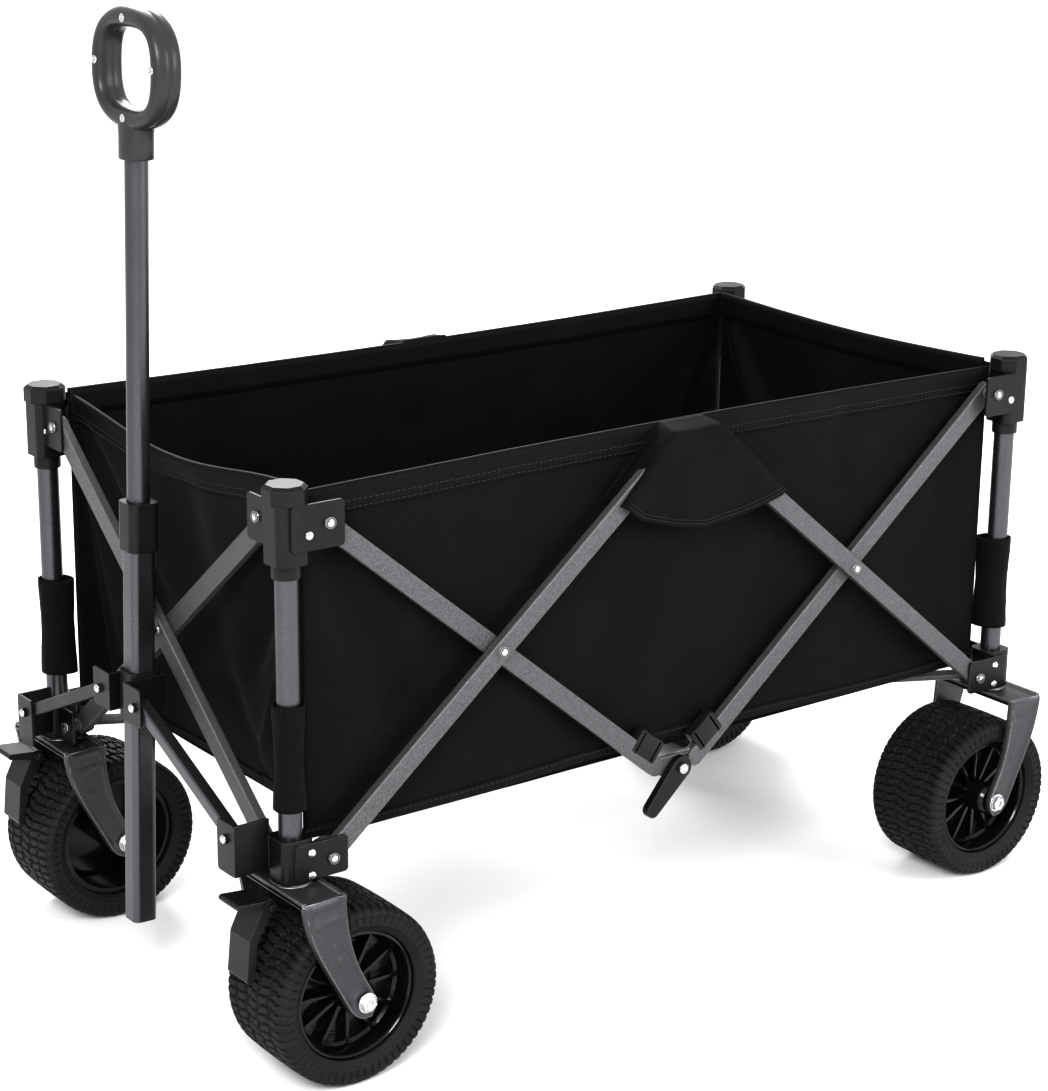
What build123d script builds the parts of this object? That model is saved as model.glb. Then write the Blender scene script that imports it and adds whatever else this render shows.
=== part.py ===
from build123d import *
from math import atan2, cos, degrees, hypot, radians, sin
import os

# Folding camp wagon: a scissor frame on four wide wheels, with a pull handle and a
# fabric tub. Millimetres. The origin is on the ground, midway between the four posts.
# +Z is up, the handle is at the front (-X), and the left side is -Y.

# ---------------------------------------------------------------- overall sizes
length = 912.0  # front post axis to rear post axis
width = 456.0  # left post axis to right post axis
low_pivot_z = 222.0  # pivots in the lower corner brackets
pivot_rise = 320.0  # lower corner pivot to upper corner pivot
centre_drop = 17.54  # middle pivots, inside the straight line of the corner arms
pivot_inset = 34.0  # corner pivot from its post axis
fold_growth = 177.0  # how far a post grows when the wagon is folded

# ---------------------------------------------------------------- scissor bars
bar_width = 20.0
bar_depth = 10.0
bar_wall = 1.2
bar_edge = 1.5  # rounding of the long edges
layer_gap = 1.0  # air between two bars that cross
short_side_layer = 1.0  # outer bar's middle, out from the post axes, front and rear
lug_radius = 12.0
pin_radius = 4.0
small_pin_radius = 3.0  # floor arm and handle link pins
pin_play = 0.3  # radial clearance of every turning pin
head_radius = 5.4
small_head_radius = 4.6
head_height = 2.5
pin_head_gap = 0.3  # air under a rivet head
spacer_radius = 7.0
cut_past = 1.0  # how far a cut runs past the faces it opens
tube_short_of_centre = 26.0  # a bar's tube stops here, before the middle pivot

# ---------------------------------------------------------------- posts and brackets
post_radius = 11.0
post_wall = 1.3
seat_play = 0.13  # radial clearance of a post in its lower bracket
slide_play = 0.4  # radial clearance of a sliding tube
post_bottom_z = 206.0
post_top_z = 540.0
inner_wall = 1.4
collar_wall = 5.5  # thinnest wall of the square collar round a post
collar_corner = 8.0
flange_thickness = 2.5
flange_gap = 0.5  # air between a flange and the bar it holds
flange_reach = 50.0  # flange end from the post axis
low_collar_bottom_z = 204.0
low_collar_top_z = 246.0
top_collar_bottom_z = 506.0
top_collar_top_z = 562.0
low_flange_lift = 2.0  # flange above the lower collar's foot
low_flange_drop = 4.0  # flange below the lower collar's top
top_flange_lift = 13.0  # flange above the top collar's foot
guide_wall = 2.2  # black guide sleeve under the top bracket
guide_bottom_z = 493.0
post_stop_gap = 2.0  # air above the post inside its top bracket
cap_radius = 21.0
cap_height = 17.0
cap_chamfer = 3.4
cap_facets = 8
inner_overlap = 35.0  # inner tube left in the outer one when folded

# ---------------------------------------------------------------- wheels and forks
wheel_radius = 89.0
tyre_width = 98.0
tyre_shoulder = 8.0
bead_radius = 64.0
bead_width = 84.0
rim_thickness = 6.0
rim_width = 76.0
hub_web = 8.0
hub_web_setback = 18.0  # web's outer face, in from the rim's edge
boss_radius = 17.0
axle_radius = 5.0
axle_play = 0.3
trail_front = 44.0  # front axle behind the swivel
trail_rear = 38.0  # rear axle ahead of its post
fork_gap = 4.0  # tyre to fork arm
fork_thickness = 4.0
fork_top_z = 202.0
fork_top_width = 46.0
fork_foot_radius = 15.0
fork_edge = 3.0
fork_heel_drop = 38.0  # heel's shoulder under the fork top
fork_toe_drop = 80.0  # toe's hollow under the fork top
fork_toe_in = 28.5  # toe's hollow, ahead of half the trail
kingpin_depth = 6.0  # kingpin head under the crown
bolt_head_radius = 9.0
bolt_head_height = 6.0
bearing_radius = 19.0
kingpin_radius = 7.0

# ---------------------------------------------------------------- foot brake
brake_pivot = (-34.0, 191.0)  # from the front post axis, and height
brake_knee = (-51.0, 160.0)
brake_tip = (-55.0, 123.0)
pedal_tip = (-64.0, 196.0)
brake_width = 34.0
brake_ear = 3.0
brake_pin_radius = 3.0
brake_side_gap = 1.0  # lever to each fork ear
brake_radii = (6.0, 4.5, 4.0)  # pivot, knee and tip
pedal_radii = (5.0, 3.0)
brake_ear_root = (3.0, 7.0)  # in from the crown's front edge, and down from its top
brake_ear_radius = 6.5

# ---------------------------------------------------------------- pull handle
handle_ahead = 27.0  # hinge, ahead of the front post axes
handle_pivot_z = 312.0
handle_lean = 1.7  # degrees back from upright
low_tube_size = 25.0
low_tube_corner = 6.0
low_tube_fit = 0.1  # air between the lower tube and the pieces clamped round it
low_tube_below = 224.0  # tube below the hinge
low_tube_above = 196.0
high_tube_radius = 11.0
high_tube_wall = 1.4
high_tube_overlap = 78.0  # inside the lower tube when drawn out
high_tube_shown = 322.0  # from the collar to the grip's neck
sleeve_wall = 1.5
sleeve_front_wall = 3.5
sleeve_down = 16.0
sleeve_up = 34.0
top_collar_wall = 3.0
top_collar_length = 47.0
top_collar_lip = 5.0
top_collar_corner = 8.0
grip_width = 126.0
grip_height = 108.0
grip_depth = 28.0
grip_hole_width = 70.0
grip_hole_height = 54.0
grip_roundness = 0.42  # corner radius, as a share of the height
grip_edge = 8.4
neck_in_loop = 6.0  # neck sunk into the loop
neck_play = 0.1
neck_floor_gap = 0.5  # air past the end of the tube
neck_radius = 15.5
neck_length = 34.0
neck_socket = 22.0  # tube inside the neck

# ---------------------------------------------------------------- handle linkage
link_ahead = 42.25  # middle of the two links, ahead of the front post axes
link_depth = 13.0
link_radius = 6.5
ear_inset = 28.0  # outer link pivot, in from the post axis
ear_z = 246.0
wing_y = 34.0  # inner link pivot, from the middle
wing_z = 322.0
ear_plate = 2.5
ear_width = 30.0
ear_above = 16.0  # plate above its pivot
ear_foot = 8.0  # plate's foot above the collar's foot
ear_web_lap = 2.0  # web sunk into the collar
thin_corner = 1.0  # corner of the thinnest plates
bracket_plate = 2.5
wing_reach = 46.0
wing_below = 18.0  # wing below the inner link pivot
wing_above = 20.0
wing_corner = 3.0
bracket_back_gap = 1.5  # handle sleeve to the bracket's back
bracket_back_height = 14.0
link_edge = 2.0
open_end_cut = 4.5  # the right link stops this much short of its inner pivot

# ---------------------------------------------------------------- under-floor arms
arm_z = 216.0
arm_pivot = 31.0  # from the post axis, along the diagonal
arm_length = 385.0
arm_width = 18.0
arm_thickness = 5.0
arm_knuckle = 5.5
arm_ear = 3.0
arm_ear_edge = 2.0  # ear past the knuckle, above and below

# ---------------------------------------------------------------- fabric tub
cloth = 2.0
tub_top_z = 562.0
tub_bottom_z = 226.0
side_wall_gap = 2.2  # long walls, inside the bars' rivet heads
end_wall_in = 22.0  # front and rear walls, in from the post axes
front_slope = 38.0  # how far the front wall leans in at its foot
corner_gap = 8.0  # cloth to corner bracket
floor_thickness = 5.0
floor_z = 228.0
floor_gap = 3.0

# ---------------------------------------------------------------- latch levers
latch_tip = (-36.0, -38.0)  # from the bottom middle pivot
latch_tip_radius = 8.0
latch_thickness = 8.0

# ---------------------------------------------------------------- derived places
os.makedirs("parts", exist_ok=True)
half_length = length / 2
half_width = width / 2
top_pivot_z = low_pivot_z + pivot_rise
cross_z = low_pivot_z + pivot_rise / 2
corner_arm = half_width - pivot_inset  # corner pivot to crossing, along the side
cross_u = half_length - pivot_inset - corner_arm
centre_half_rise = pivot_rise / 2 * cross_u / corner_arm - centre_drop
top_centre_z = cross_z + centre_half_rise
low_centre_z = cross_z - centre_half_rise
layer_pitch = bar_depth + layer_gap
collar_size = 2 * (post_radius + collar_wall)
guide_radius = post_radius + slide_play + guide_wall
long_side_layer = collar_size / 2 - flange_gap - bar_depth / 2
side_wall_in = side_wall_gap + pin_head_gap + head_height + bar_depth / 2 + layer_pitch - long_side_layer
handle_x = -half_length - handle_ahead
link_x = -half_length - link_ahead
ear_y = half_width - ear_inset
sleeve_bore = low_tube_size + 2 * low_tube_fit
sleeve_half = low_tube_size / 2 + sleeve_wall
sleeve_front = low_tube_size / 2 + sleeve_front_wall
top_collar_size = low_tube_size + 2 * top_collar_wall
inner_tube_radius = post_radius - post_wall - slide_play
axle_reach = tyre_width / 2 + fork_gap + fork_thickness

# Each side has a plane with +X along the side, +Y up and +Z outwards.
side_planes = {
    "left": Plane((0, -half_width, 0), x_dir=(1, 0, 0), z_dir=(0, -1, 0)),
    "right": Plane((0, half_width, 0), x_dir=(-1, 0, 0), z_dir=(0, 1, 0)),
    "front": Plane((-half_length, 0, 0), x_dir=(0, -1, 0), z_dir=(-1, 0, 0)),
    "rear": Plane((half_length, 0, 0), x_dir=(0, 1, 0), z_dir=(1, 0, 0)),
}
outer_layer = {
    "left": long_side_layer,
    "right": long_side_layer,
    "front": short_side_layer,
    "rear": short_side_layer,
}
corners = {"fl": (-1, -1), "fr": (-1, 1), "rl": (1, -1), "rr": (1, 1)}


def along(side, corner):
    """Which way along its side plane a corner lies: -1 or 1."""
    sx, sy = corners[corner]
    run = side_planes[side].x_dir
    return 1 if run.X * sx + run.Y * sy > 0 else -1


def sides_of(corner):
    """The long side and the short side that meet at a corner."""
    sx, sy = corners[corner]
    return ("left" if sy < 0 else "right", "front" if sx < 0 else "rear")


def reach(side):
    """Distance from the middle of a side to its corner post axes."""
    return half_length if side in ("left", "right") else half_width


def flange_start(side):
    """Inner face of a bracket flange, out from the post axes."""
    return outer_layer[side] + bar_depth / 2 + flange_gap


# ---------------------------------------------------------------- shared features
def plate(plane, centre, size, start, thickness, corner):
    """Add a round-cornered plate parallel to a plane, from start outwards."""
    with BuildSketch(plane.offset(start)) as outline:
        with Locations(centre):
            RectangleRounded(size[0], size[1], corner)
    extrude(outline.sketch, amount=thickness)


def rod(plane, centre, radius, start, end, mode=Mode.ADD):
    """Add or cut a round rod square to a plane, from start to end."""
    with BuildSketch(plane.offset(start)) as section:
        with Locations(centre):
            Circle(radius)
    extrude(section.sketch, amount=end - start, mode=mode)


def link_plate(plane, ends, radii, start, thickness):
    """Add a flat link that wraps a row of round ends."""
    for first in range(len(ends) - 1):
        with BuildSketch(plane.offset(start)) as outline:
            for spot, radius in zip(ends[first:first + 2], radii[first:first + 2]):
                with Locations(spot):
                    Circle(radius)
            make_hull()
        extrude(outline.sketch, amount=thickness)


def tube_bar(builder, plane, start, end, layer):
    """Add a rectangular tube with round ends between two points of a side."""
    run = (end[0] - start[0], end[1] - start[1])
    spot = Location(
        ((start[0] + end[0]) / 2, (start[1] + end[1]) / 2, 0),
        (0, 0, degrees(atan2(run[1], run[0]))),
    )
    span = hypot(*run)
    with BuildSketch(plane.offset(layer - bar_depth / 2)) as outline:
        with Locations(spot):
            SlotCenterToCenter(span, bar_width)
    extrude(outline.sketch, amount=bar_depth)
    fillet(builder.edges(), bar_edge)
    with BuildSketch(plane.offset(layer - bar_depth / 2 + bar_wall)) as bore:
        with Locations(spot):
            Rectangle(span + 2 * bar_width, bar_width - 2 * bar_wall)
    extrude(bore.sketch, amount=bar_depth - 2 * bar_wall, mode=Mode.SUBTRACT)


def corner_pin(plane, spot, side, layer):
    """Add the pin that holds a bar to its bracket, with a spacer up to the flange."""
    outside = flange_start(side) + flange_thickness
    tail = layer - bar_depth / 2 - head_height
    rod(plane, spot, pin_radius, tail, outside + pin_head_gap + head_height)
    rod(plane, spot, head_radius, tail, tail + head_height)
    rod(plane, spot, head_radius, outside + pin_head_gap, outside + pin_head_gap + head_height)
    if layer < outer_layer[side]:
        rod(plane, spot, spacer_radius, layer + bar_depth / 2, flange_start(side) - pin_play)


def crossing_pin(plane, spot, side):
    """Add the rivet of an outer bar that the inner bar turns on."""
    outer = outer_layer[side]
    inner = outer - layer_pitch
    inside = inner - bar_depth / 2 - pin_head_gap
    rod(plane, spot, pin_radius, inside - head_height, outer + bar_depth / 2 + head_height)
    rod(plane, spot, head_radius, inside - head_height, inside)
    rod(plane, spot, head_radius, outer + bar_depth / 2, outer + bar_depth / 2 + head_height)


def pin_hole(plane, spot, layer):
    """Cut the running hole for another bar's pin through one layer."""
    rod(plane, spot, pin_radius + pin_play, layer - bar_depth, layer + bar_depth, Mode.SUBTRACT)


# ---------------------------------------------------------------- long side bars
for side in ("left", "right"):
    plane = side_planes[side]
    for end in (-1, 1):
        corner = next(c for c in corners if side in sides_of(c) and along(side, c) == end)
        for kind, corner_z, centre_z, layer in (
            ("outer", low_pivot_z, top_centre_z, outer_layer[side]),
            ("inner", top_pivot_z, low_centre_z, outer_layer[side] - layer_pitch),
        ):
            pivot = (end * (half_length - pivot_inset), corner_z)
            crossing = (end * cross_u, cross_z)
            slope = (cross_z - corner_z) / corner_arm
            tube_end = (end * tube_short_of_centre, cross_z + slope * (cross_u - tube_short_of_centre))
            with BuildPart() as bar:
                tube_bar(bar, plane, pivot, tube_end, layer)
                corner_pin(plane, pivot, side, layer)
                half_lap = bar_depth / 2 - pin_play / 2
                lap_start = layer + pin_play / 2 if end < 0 else layer - bar_depth / 2
                link_plate(
                    plane,
                    [tube_end, (0, centre_z)],
                    [bar_width / 2 - bar_edge, lug_radius],
                    lap_start,
                    half_lap,
                )
                if kind == "outer":
                    crossing_pin(plane, crossing, side)
                else:
                    pin_hole(plane, crossing, layer)
                if end < 0:
                    tail = layer - bar_depth / 2 - pin_head_gap
                    tip = layer + bar_depth / 2
                    if kind == "inner":
                        tip = tip + flange_gap + latch_thickness + pin_head_gap
                    rod(plane, (0, centre_z), pin_radius, tail - head_height, tip + head_height)
                    rod(plane, (0, centre_z), head_radius, tail - head_height, tail)
                    rod(plane, (0, centre_z), head_radius, tip, tip + head_height)
                else:
                    pin_hole(plane, (0, centre_z), layer)
            facing = "front" if corners[corner][0] < 0 else "rear"
            label = f"bar_{side}_{kind}_{facing}"
            bar.part.label = label
            export_step(bar.part, f"parts/{label}.step")

# ---------------------------------------------------------------- end bars
for side, low_corner, high_corner in (("front", "fl", "fr"), ("rear", "rl", "rr")):
    plane = side_planes[side]
    for kind, layer in (("outer", outer_layer[side]), ("inner", outer_layer[side] - layer_pitch)):
        foot = low_corner if kind == "outer" else high_corner
        head = high_corner if kind == "outer" else low_corner
        low = (along(side, foot) * corner_arm, low_pivot_z)
        high = (along(side, head) * corner_arm, top_pivot_z)
        with BuildPart() as bar:
            tube_bar(bar, plane, low, high, layer)
            corner_pin(plane, low, side, layer)
            corner_pin(plane, high, side, layer)
            if kind == "outer":
                crossing_pin(plane, (0, cross_z), side)
            else:
                pin_hole(plane, (0, cross_z), layer)
        label = f"bar_{side}_{kind}"
        bar.part.label = label
        export_step(bar.part, f"parts/{label}.step")


# ---------------------------------------------------------------- corner posts
def flanges(corner, bottom, top, pivot_z):
    """Add the two flanges of a corner bracket, with their pivot holes."""
    for side in sides_of(corner):
        plane = side_planes[side]
        sign = along(side, corner)
        start = flange_start(side)
        near = reach(side) - flange_reach
        far = reach(side) + post_radius / 2
        plate(
            plane,
            (sign * (near + far) / 2, (bottom + top) / 2),
            (far - near, top - bottom),
            start,
            flange_thickness,
            collar_corner / 2,
        )
        hole = (sign * (reach(side) - pivot_inset), pivot_z)
        rod(
            plane,
            hole,
            pin_radius + pin_play,
            start - cut_past,
            start + flange_thickness + cut_past,
            Mode.SUBTRACT,
        )


def collar(centre, bottom, top):
    """Add a square collar with rounded corners round a post."""
    with BuildSketch(Plane.XY.offset(bottom)) as block:
        with Locations(centre):
            RectangleRounded(collar_size, collar_size, collar_corner)
    extrude(block.sketch, amount=top - bottom)


diagonal = Vector(half_length, half_width).normalized()
arm_side = arm_width / 2 + pin_play
for corner, (sx, sy) in corners.items():
    spot = (sx * half_length, sy * half_width)
    inward = Vector(-sx * diagonal.X, -sy * diagonal.Y, 0)
    across = Plane.XY.z_dir.cross(inward)
    arm_foot = Vector(spot[0], spot[1], arm_z) + inward * arm_pivot
    arm_plane = Plane(arm_foot, x_dir=inward, z_dir=across)

    with BuildPart() as lower_bracket:
        collar(spot, low_collar_bottom_z, low_collar_top_z)
        flanges(
            corner,
            low_collar_bottom_z + low_flange_lift,
            low_collar_top_z - low_flange_drop,
            low_pivot_z,
        )
        rod(
            Plane.XY,
            spot,
            post_radius + seat_play,
            post_bottom_z - seat_play,
            low_collar_top_z + cut_past,
            Mode.SUBTRACT,
        )
        for start in (-arm_side - arm_ear, arm_side):
            ear_centre = (-arm_pivot / 4, 0)
            ear_size = (arm_pivot / 2 + 2 * arm_knuckle, 2 * arm_knuckle + 2 * arm_ear_edge)
            plate(arm_plane, ear_centre, ear_size, start, arm_ear, arm_knuckle)
        rod(
            arm_plane,
            (0, 0),
            small_pin_radius + pin_play,
            -arm_side - 2 * arm_ear,
            arm_side + 2 * arm_ear,
            Mode.SUBTRACT,
        )
        if sx < 0:
            ear_top = ear_z + ear_above
            ear_bottom = low_collar_bottom_z + ear_foot
            ear_plane = side_planes["front"]
            sign = along("front", corner)
            plate_start = -half_length - (link_x - link_depth / 2) + flange_gap
            plate(
                ear_plane,
                (sign * ear_y, (ear_top + ear_bottom) / 2),
                (ear_width, ear_top - ear_bottom),
                plate_start,
                ear_plate,
                collar_corner / 2,
            )
            rod(
                ear_plane, (sign * ear_y, ear_z), small_pin_radius + pin_play,
                plate_start - cut_past, plate_start + ear_plate + cut_past, Mode.SUBTRACT,
            )
            web_plane = side_planes["left" if sy < 0 else "right"]
            web_sign = along("left" if sy < 0 else "right", corner)
            web_start = ear_y + ear_width / 2 - ear_plate - half_width
            web_near = half_length + collar_size / 2 - ear_web_lap
            web_far = half_length + plate_start + ear_plate
            plate(
                web_plane,
                (web_sign * (web_near + web_far) / 2, (ear_top + ear_bottom) / 2),
                (web_far - web_near, ear_top - ear_bottom),
                web_start,
                ear_plate,
                thin_corner,
            )
    lower_bracket.part.label = f"lower_bracket_{corner}"
    export_step(lower_bracket.part, f"parts/lower_bracket_{corner}.step")

    with BuildPart() as post_tube:
        with BuildSketch(Plane.XY.offset(post_bottom_z)):
            with Locations(spot):
                Circle(post_radius)
                Circle(post_radius - post_wall, mode=Mode.SUBTRACT)
        extrude(amount=post_top_z - post_bottom_z)
    post_tube.part.label = f"post_tube_{corner}"
    export_step(post_tube.part, f"parts/post_tube_{corner}.step")

    with BuildPart() as top_bracket:
        collar(spot, top_collar_bottom_z, top_collar_top_z)
        flanges(corner, top_collar_bottom_z + top_flange_lift, top_collar_top_z, top_pivot_z)
        rod(Plane.XY, spot, guide_radius, guide_bottom_z, top_collar_bottom_z)
        rod(
            Plane.XY,
            spot,
            post_radius + slide_play,
            guide_bottom_z - cut_past,
            post_top_z + post_stop_gap,
            Mode.SUBTRACT,
        )
        rod(
            Plane.XY,
            spot,
            inner_tube_radius + seat_play,
            post_top_z,
            top_collar_top_z + cut_past,
            Mode.SUBTRACT,
        )
    top_bracket.part.label = f"top_bracket_{corner}"
    export_step(top_bracket.part, f"parts/top_bracket_{corner}.step")

    cap_bottom_z = top_collar_top_z
    inner_bottom_z = post_top_z - fold_growth - inner_overlap
    with BuildPart() as post_cap:
        with BuildSketch(Plane.XY.offset(cap_bottom_z)):
            with Locations(Location((spot[0], spot[1], 0), (0, 0, 180 / cap_facets))):
                RegularPolygon(cap_radius, cap_facets)
        extrude(amount=cap_height)
        chamfer(post_cap.faces().sort_by(Axis.Z)[-1].edges(), cap_chamfer)
        with BuildSketch(Plane.XY.offset(inner_bottom_z)):
            with Locations(spot):
                Circle(inner_tube_radius)
                Circle(inner_tube_radius - inner_wall, mode=Mode.SUBTRACT)
        extrude(amount=cap_bottom_z - inner_bottom_z)
    post_cap.part.label = f"post_cap_{corner}"
    export_step(post_cap.part, f"parts/post_cap_{corner}.step")

    with BuildPart() as floor_arm:
        with BuildSketch(arm_plane.offset(-arm_width / 2)):
            Circle(arm_knuckle)
            with Locations((arm_length / 2, 0)):
                Rectangle(arm_length, arm_thickness)
        extrude(amount=arm_width)
        rod(
            arm_plane,
            (0, 0),
            small_pin_radius,
            -arm_side - arm_ear - head_height,
            arm_side + arm_ear + head_height,
        )
    floor_arm.part.label = f"floor_arm_{corner}"
    export_step(floor_arm.part, f"parts/floor_arm_{corner}.step")

# ---------------------------------------------------------------- wheels and forks
for corner, (sx, sy) in corners.items():
    trail = trail_front if sx < 0 else trail_rear
    back = -sx  # the axle lies towards the middle of the wagon
    post = Vector(sx * half_length, sy * half_width, 0)
    axle = Vector(post.X + back * trail, post.Y, wheel_radius)
    section = Plane(axle, x_dir=(0, 1, 0), z_dir=(1, 0, 0))
    spin = Axis(axle, (0, 1, 0))
    rim_half = rim_width / 2
    outside = 1 if sy > 0 else -1  # the wheel's outer face

    with BuildPart() as tyre:
        with BuildSketch(section):
            with BuildLine():
                Polyline(
                    (-bead_width / 2, bead_radius),
                    (bead_width / 2, bead_radius),
                    (tyre_width / 2 - 1, (bead_radius + wheel_radius) / 2),
                    (tyre_width / 2, wheel_radius - tyre_shoulder),
                    (tyre_width / 2 - tyre_shoulder, wheel_radius),
                    (-tyre_width / 2 + tyre_shoulder, wheel_radius),
                    (-tyre_width / 2, wheel_radius - tyre_shoulder),
                    (-tyre_width / 2 + 1, (bead_radius + wheel_radius) / 2),
                    close=True,
                )
            make_face()
        revolve(axis=spin)
    tyre.part.label = f"tyre_{corner}"
    export_step(tyre.part, f"parts/tyre_{corner}.step")

    with BuildPart() as hub:
        web_middle = outside * (rim_half - hub_web_setback - hub_web / 2)
        boss_half = tyre_width / 2 + fork_gap / 2
        with BuildSketch(section):
            with Locations((0, bead_radius - rim_thickness / 2)):
                Rectangle(rim_width, rim_thickness)
            with Locations((web_middle, (bead_radius - rim_thickness / 2) / 2)):
                Rectangle(hub_web, bead_radius - rim_thickness / 2)
            with Locations((0, boss_radius / 2)):
                Rectangle(2 * boss_half, boss_radius)
            with Locations((0, (axle_radius + axle_play) / 2)):
                Rectangle(3 * boss_half, axle_radius + axle_play, mode=Mode.SUBTRACT)
        revolve(axis=spin)
    hub.part.label = f"hub_{corner}"
    export_step(hub.part, f"parts/hub_{corner}.step")

    arm_view = Plane(post, x_dir=(back, 0, 0), z_dir=(0, -back, 0))
    top_half = fork_top_width / 2
    with BuildPart() as fork:
        with BuildSketch(arm_view.offset(-axle_reach)) as arm:
            with BuildLine():
                crown = Line((-top_half, fork_top_z), (top_half, fork_top_z))
                heel = Spline(
                    crown @ 1,
                    (top_half + trail / 5, fork_top_z - fork_heel_drop),
                    (trail + fork_foot_radius, wheel_radius),
                    tangents=((0.1, -1), (0.1, -1)),
                )
                toe = ThreePointArc(
                    heel @ 1,
                    (trail, wheel_radius - fork_foot_radius),
                    (trail - fork_foot_radius * sin(radians(60)), wheel_radius - fork_foot_radius / 2),
                )
                Spline(
                    toe @ 1,
                    (trail / 2 - fork_toe_in, fork_top_z - fork_toe_drop),
                    crown @ 0,
                    tangents=((-0.5, 0.87), (0, 1)),
                )
            make_face()
        extrude(arm.sketch, amount=fork_thickness)
        with BuildSketch(Plane.XY.offset(fork_top_z - fork_thickness)) as crown_plate:
            with Locations((post.X, post.Y)):
                Rectangle(fork_top_width, 2 * axle_reach)
        extrude(crown_plate.sketch, amount=fork_thickness)
        mirror(about=Plane(post, z_dir=(0, 1, 0)))
        fillet(fork.edges().filter_by(Axis.X).group_by(Axis.Z)[-1], fork_edge)
        wheel_plane = Plane(axle, x_dir=(1, 0, 0), z_dir=(0, -1, 0))
        rod(wheel_plane, (0, 0), axle_radius, -axle_reach - bolt_head_height, axle_reach + bolt_head_height)
        for start in (-axle_reach - bolt_head_height, axle_reach):
            with BuildSketch(wheel_plane.offset(start)) as bolt_head:
                RegularPolygon(bolt_head_radius, 6)
            extrude(bolt_head.sketch, amount=bolt_head_height)
        swivel = Plane((post.X, post.Y, 0))
        rod(swivel, (0, 0), kingpin_radius, fork_top_z - fork_thickness - kingpin_depth, fork_top_z)
        bearing_top = low_collar_bottom_z - (pin_head_gap if sx < 0 else 0)
        rod(swivel, (0, 0), bearing_radius, fork_top_z, bearing_top)
        if sx < 0:
            side_view = Plane(post, x_dir=(1, 0, 0), z_dir=(0, -1, 0))
            for start in (-brake_width / 2 - brake_side_gap - brake_ear, brake_width / 2 + brake_side_gap):
                link_plate(
                    side_view,
                    [(-top_half + brake_ear_root[0], fork_top_z - brake_ear_root[1]), brake_pivot],
                    [brake_ear_radius, brake_ear_radius],
                    start,
                    brake_ear,
                )
                rod(
                    side_view,
                    brake_pivot,
                    brake_pin_radius + pin_play,
                    start - cut_past,
                    start + brake_ear + cut_past,
                    Mode.SUBTRACT,
                )
    fork.part.label = f"fork_{corner}"
    export_step(fork.part, f"parts/fork_{corner}.step")

    if sx < 0:
        name = "left" if sy < 0 else "right"
        with BuildPart() as brake:
            link_plate(
                side_view,
                [brake_pivot, brake_knee, brake_tip],
                brake_radii,
                -brake_width / 2,
                brake_width,
            )
            link_plate(side_view, [brake_pivot, pedal_tip], pedal_radii, -brake_width / 2, brake_width)
            pin_half = brake_width / 2 + brake_side_gap + brake_ear + head_height
            rod(side_view, brake_pivot, brake_pin_radius, -pin_half, pin_half)
        brake.part.label = f"brake_lever_{name}"
        export_step(brake.part, f"parts/brake_lever_{name}.step")

# ---------------------------------------------------------------- pull handle
lean = radians(handle_lean)
handle = Plane(
    (handle_x, 0, handle_pivot_z), x_dir=(cos(lean), 0, -sin(lean)), z_dir=(sin(lean), 0, cos(lean))
)
grip_plane = Plane(handle.origin, x_dir=(0, 1, 0), z_dir=handle.x_dir)
cheek_plane = Plane((handle_x, 0, handle_pivot_z), x_dir=(1, 0, 0), z_dir=(0, -1, 0))
high_tube_bore = high_tube_radius + pin_play

with BuildPart() as handle_lower_tube:
    with BuildSketch(handle.offset(-low_tube_below)):
        RectangleRounded(low_tube_size, low_tube_size, low_tube_corner)
        Circle(high_tube_bore, mode=Mode.SUBTRACT)
    extrude(amount=low_tube_below + low_tube_above)
handle_lower_tube.part.label = "handle_lower_tube"
export_step(handle_lower_tube.part, "parts/handle_lower_tube.step")

with BuildPart() as handle_sleeves:
    with BuildSketch(handle.offset(-sleeve_down)):
        RectangleRounded(2 * sleeve_front, 2 * sleeve_half, low_tube_corner)
        RectangleRounded(sleeve_bore, sleeve_bore, low_tube_corner, mode=Mode.SUBTRACT)
    extrude(amount=sleeve_down + sleeve_up)
    hinge_half = sleeve_half + pin_play + bracket_plate + pin_head_gap
    for start, end in ((-hinge_half - head_height, -sleeve_bore / 2 - low_tube_fit),
                       (sleeve_bore / 2 + low_tube_fit, hinge_half + head_height)):
        rod(cheek_plane, (0, 0), pin_radius, start, end)
    for start in (-hinge_half - head_height, hinge_half):
        rod(cheek_plane, (0, 0), head_radius, start, start + head_height)
    with BuildSketch(handle.offset(low_tube_above + top_collar_lip - top_collar_length)):
        RectangleRounded(top_collar_size, top_collar_size, top_collar_corner)
        RectangleRounded(sleeve_bore, sleeve_bore, low_tube_corner, mode=Mode.SUBTRACT)
    extrude(amount=top_collar_length - top_collar_lip)
    with BuildSketch(handle.offset(low_tube_above)):
        RectangleRounded(top_collar_size, top_collar_size, top_collar_corner)
        Circle(high_tube_bore, mode=Mode.SUBTRACT)
    extrude(amount=top_collar_lip)
handle_sleeves.part.label = "handle_sleeves"
export_step(handle_sleeves.part, "parts/handle_sleeves.step")

collar_top = low_tube_above + top_collar_lip
neck_bottom = collar_top + high_tube_shown
with BuildPart() as handle_upper_tube:
    with BuildSketch(handle.offset(collar_top - high_tube_overlap)):
        Circle(high_tube_radius)
        Circle(high_tube_radius - high_tube_wall, mode=Mode.SUBTRACT)
    extrude(amount=high_tube_overlap + high_tube_shown + neck_socket)
handle_upper_tube.part.label = "handle_upper_tube"
export_step(handle_upper_tube.part, "parts/handle_upper_tube.step")

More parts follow.
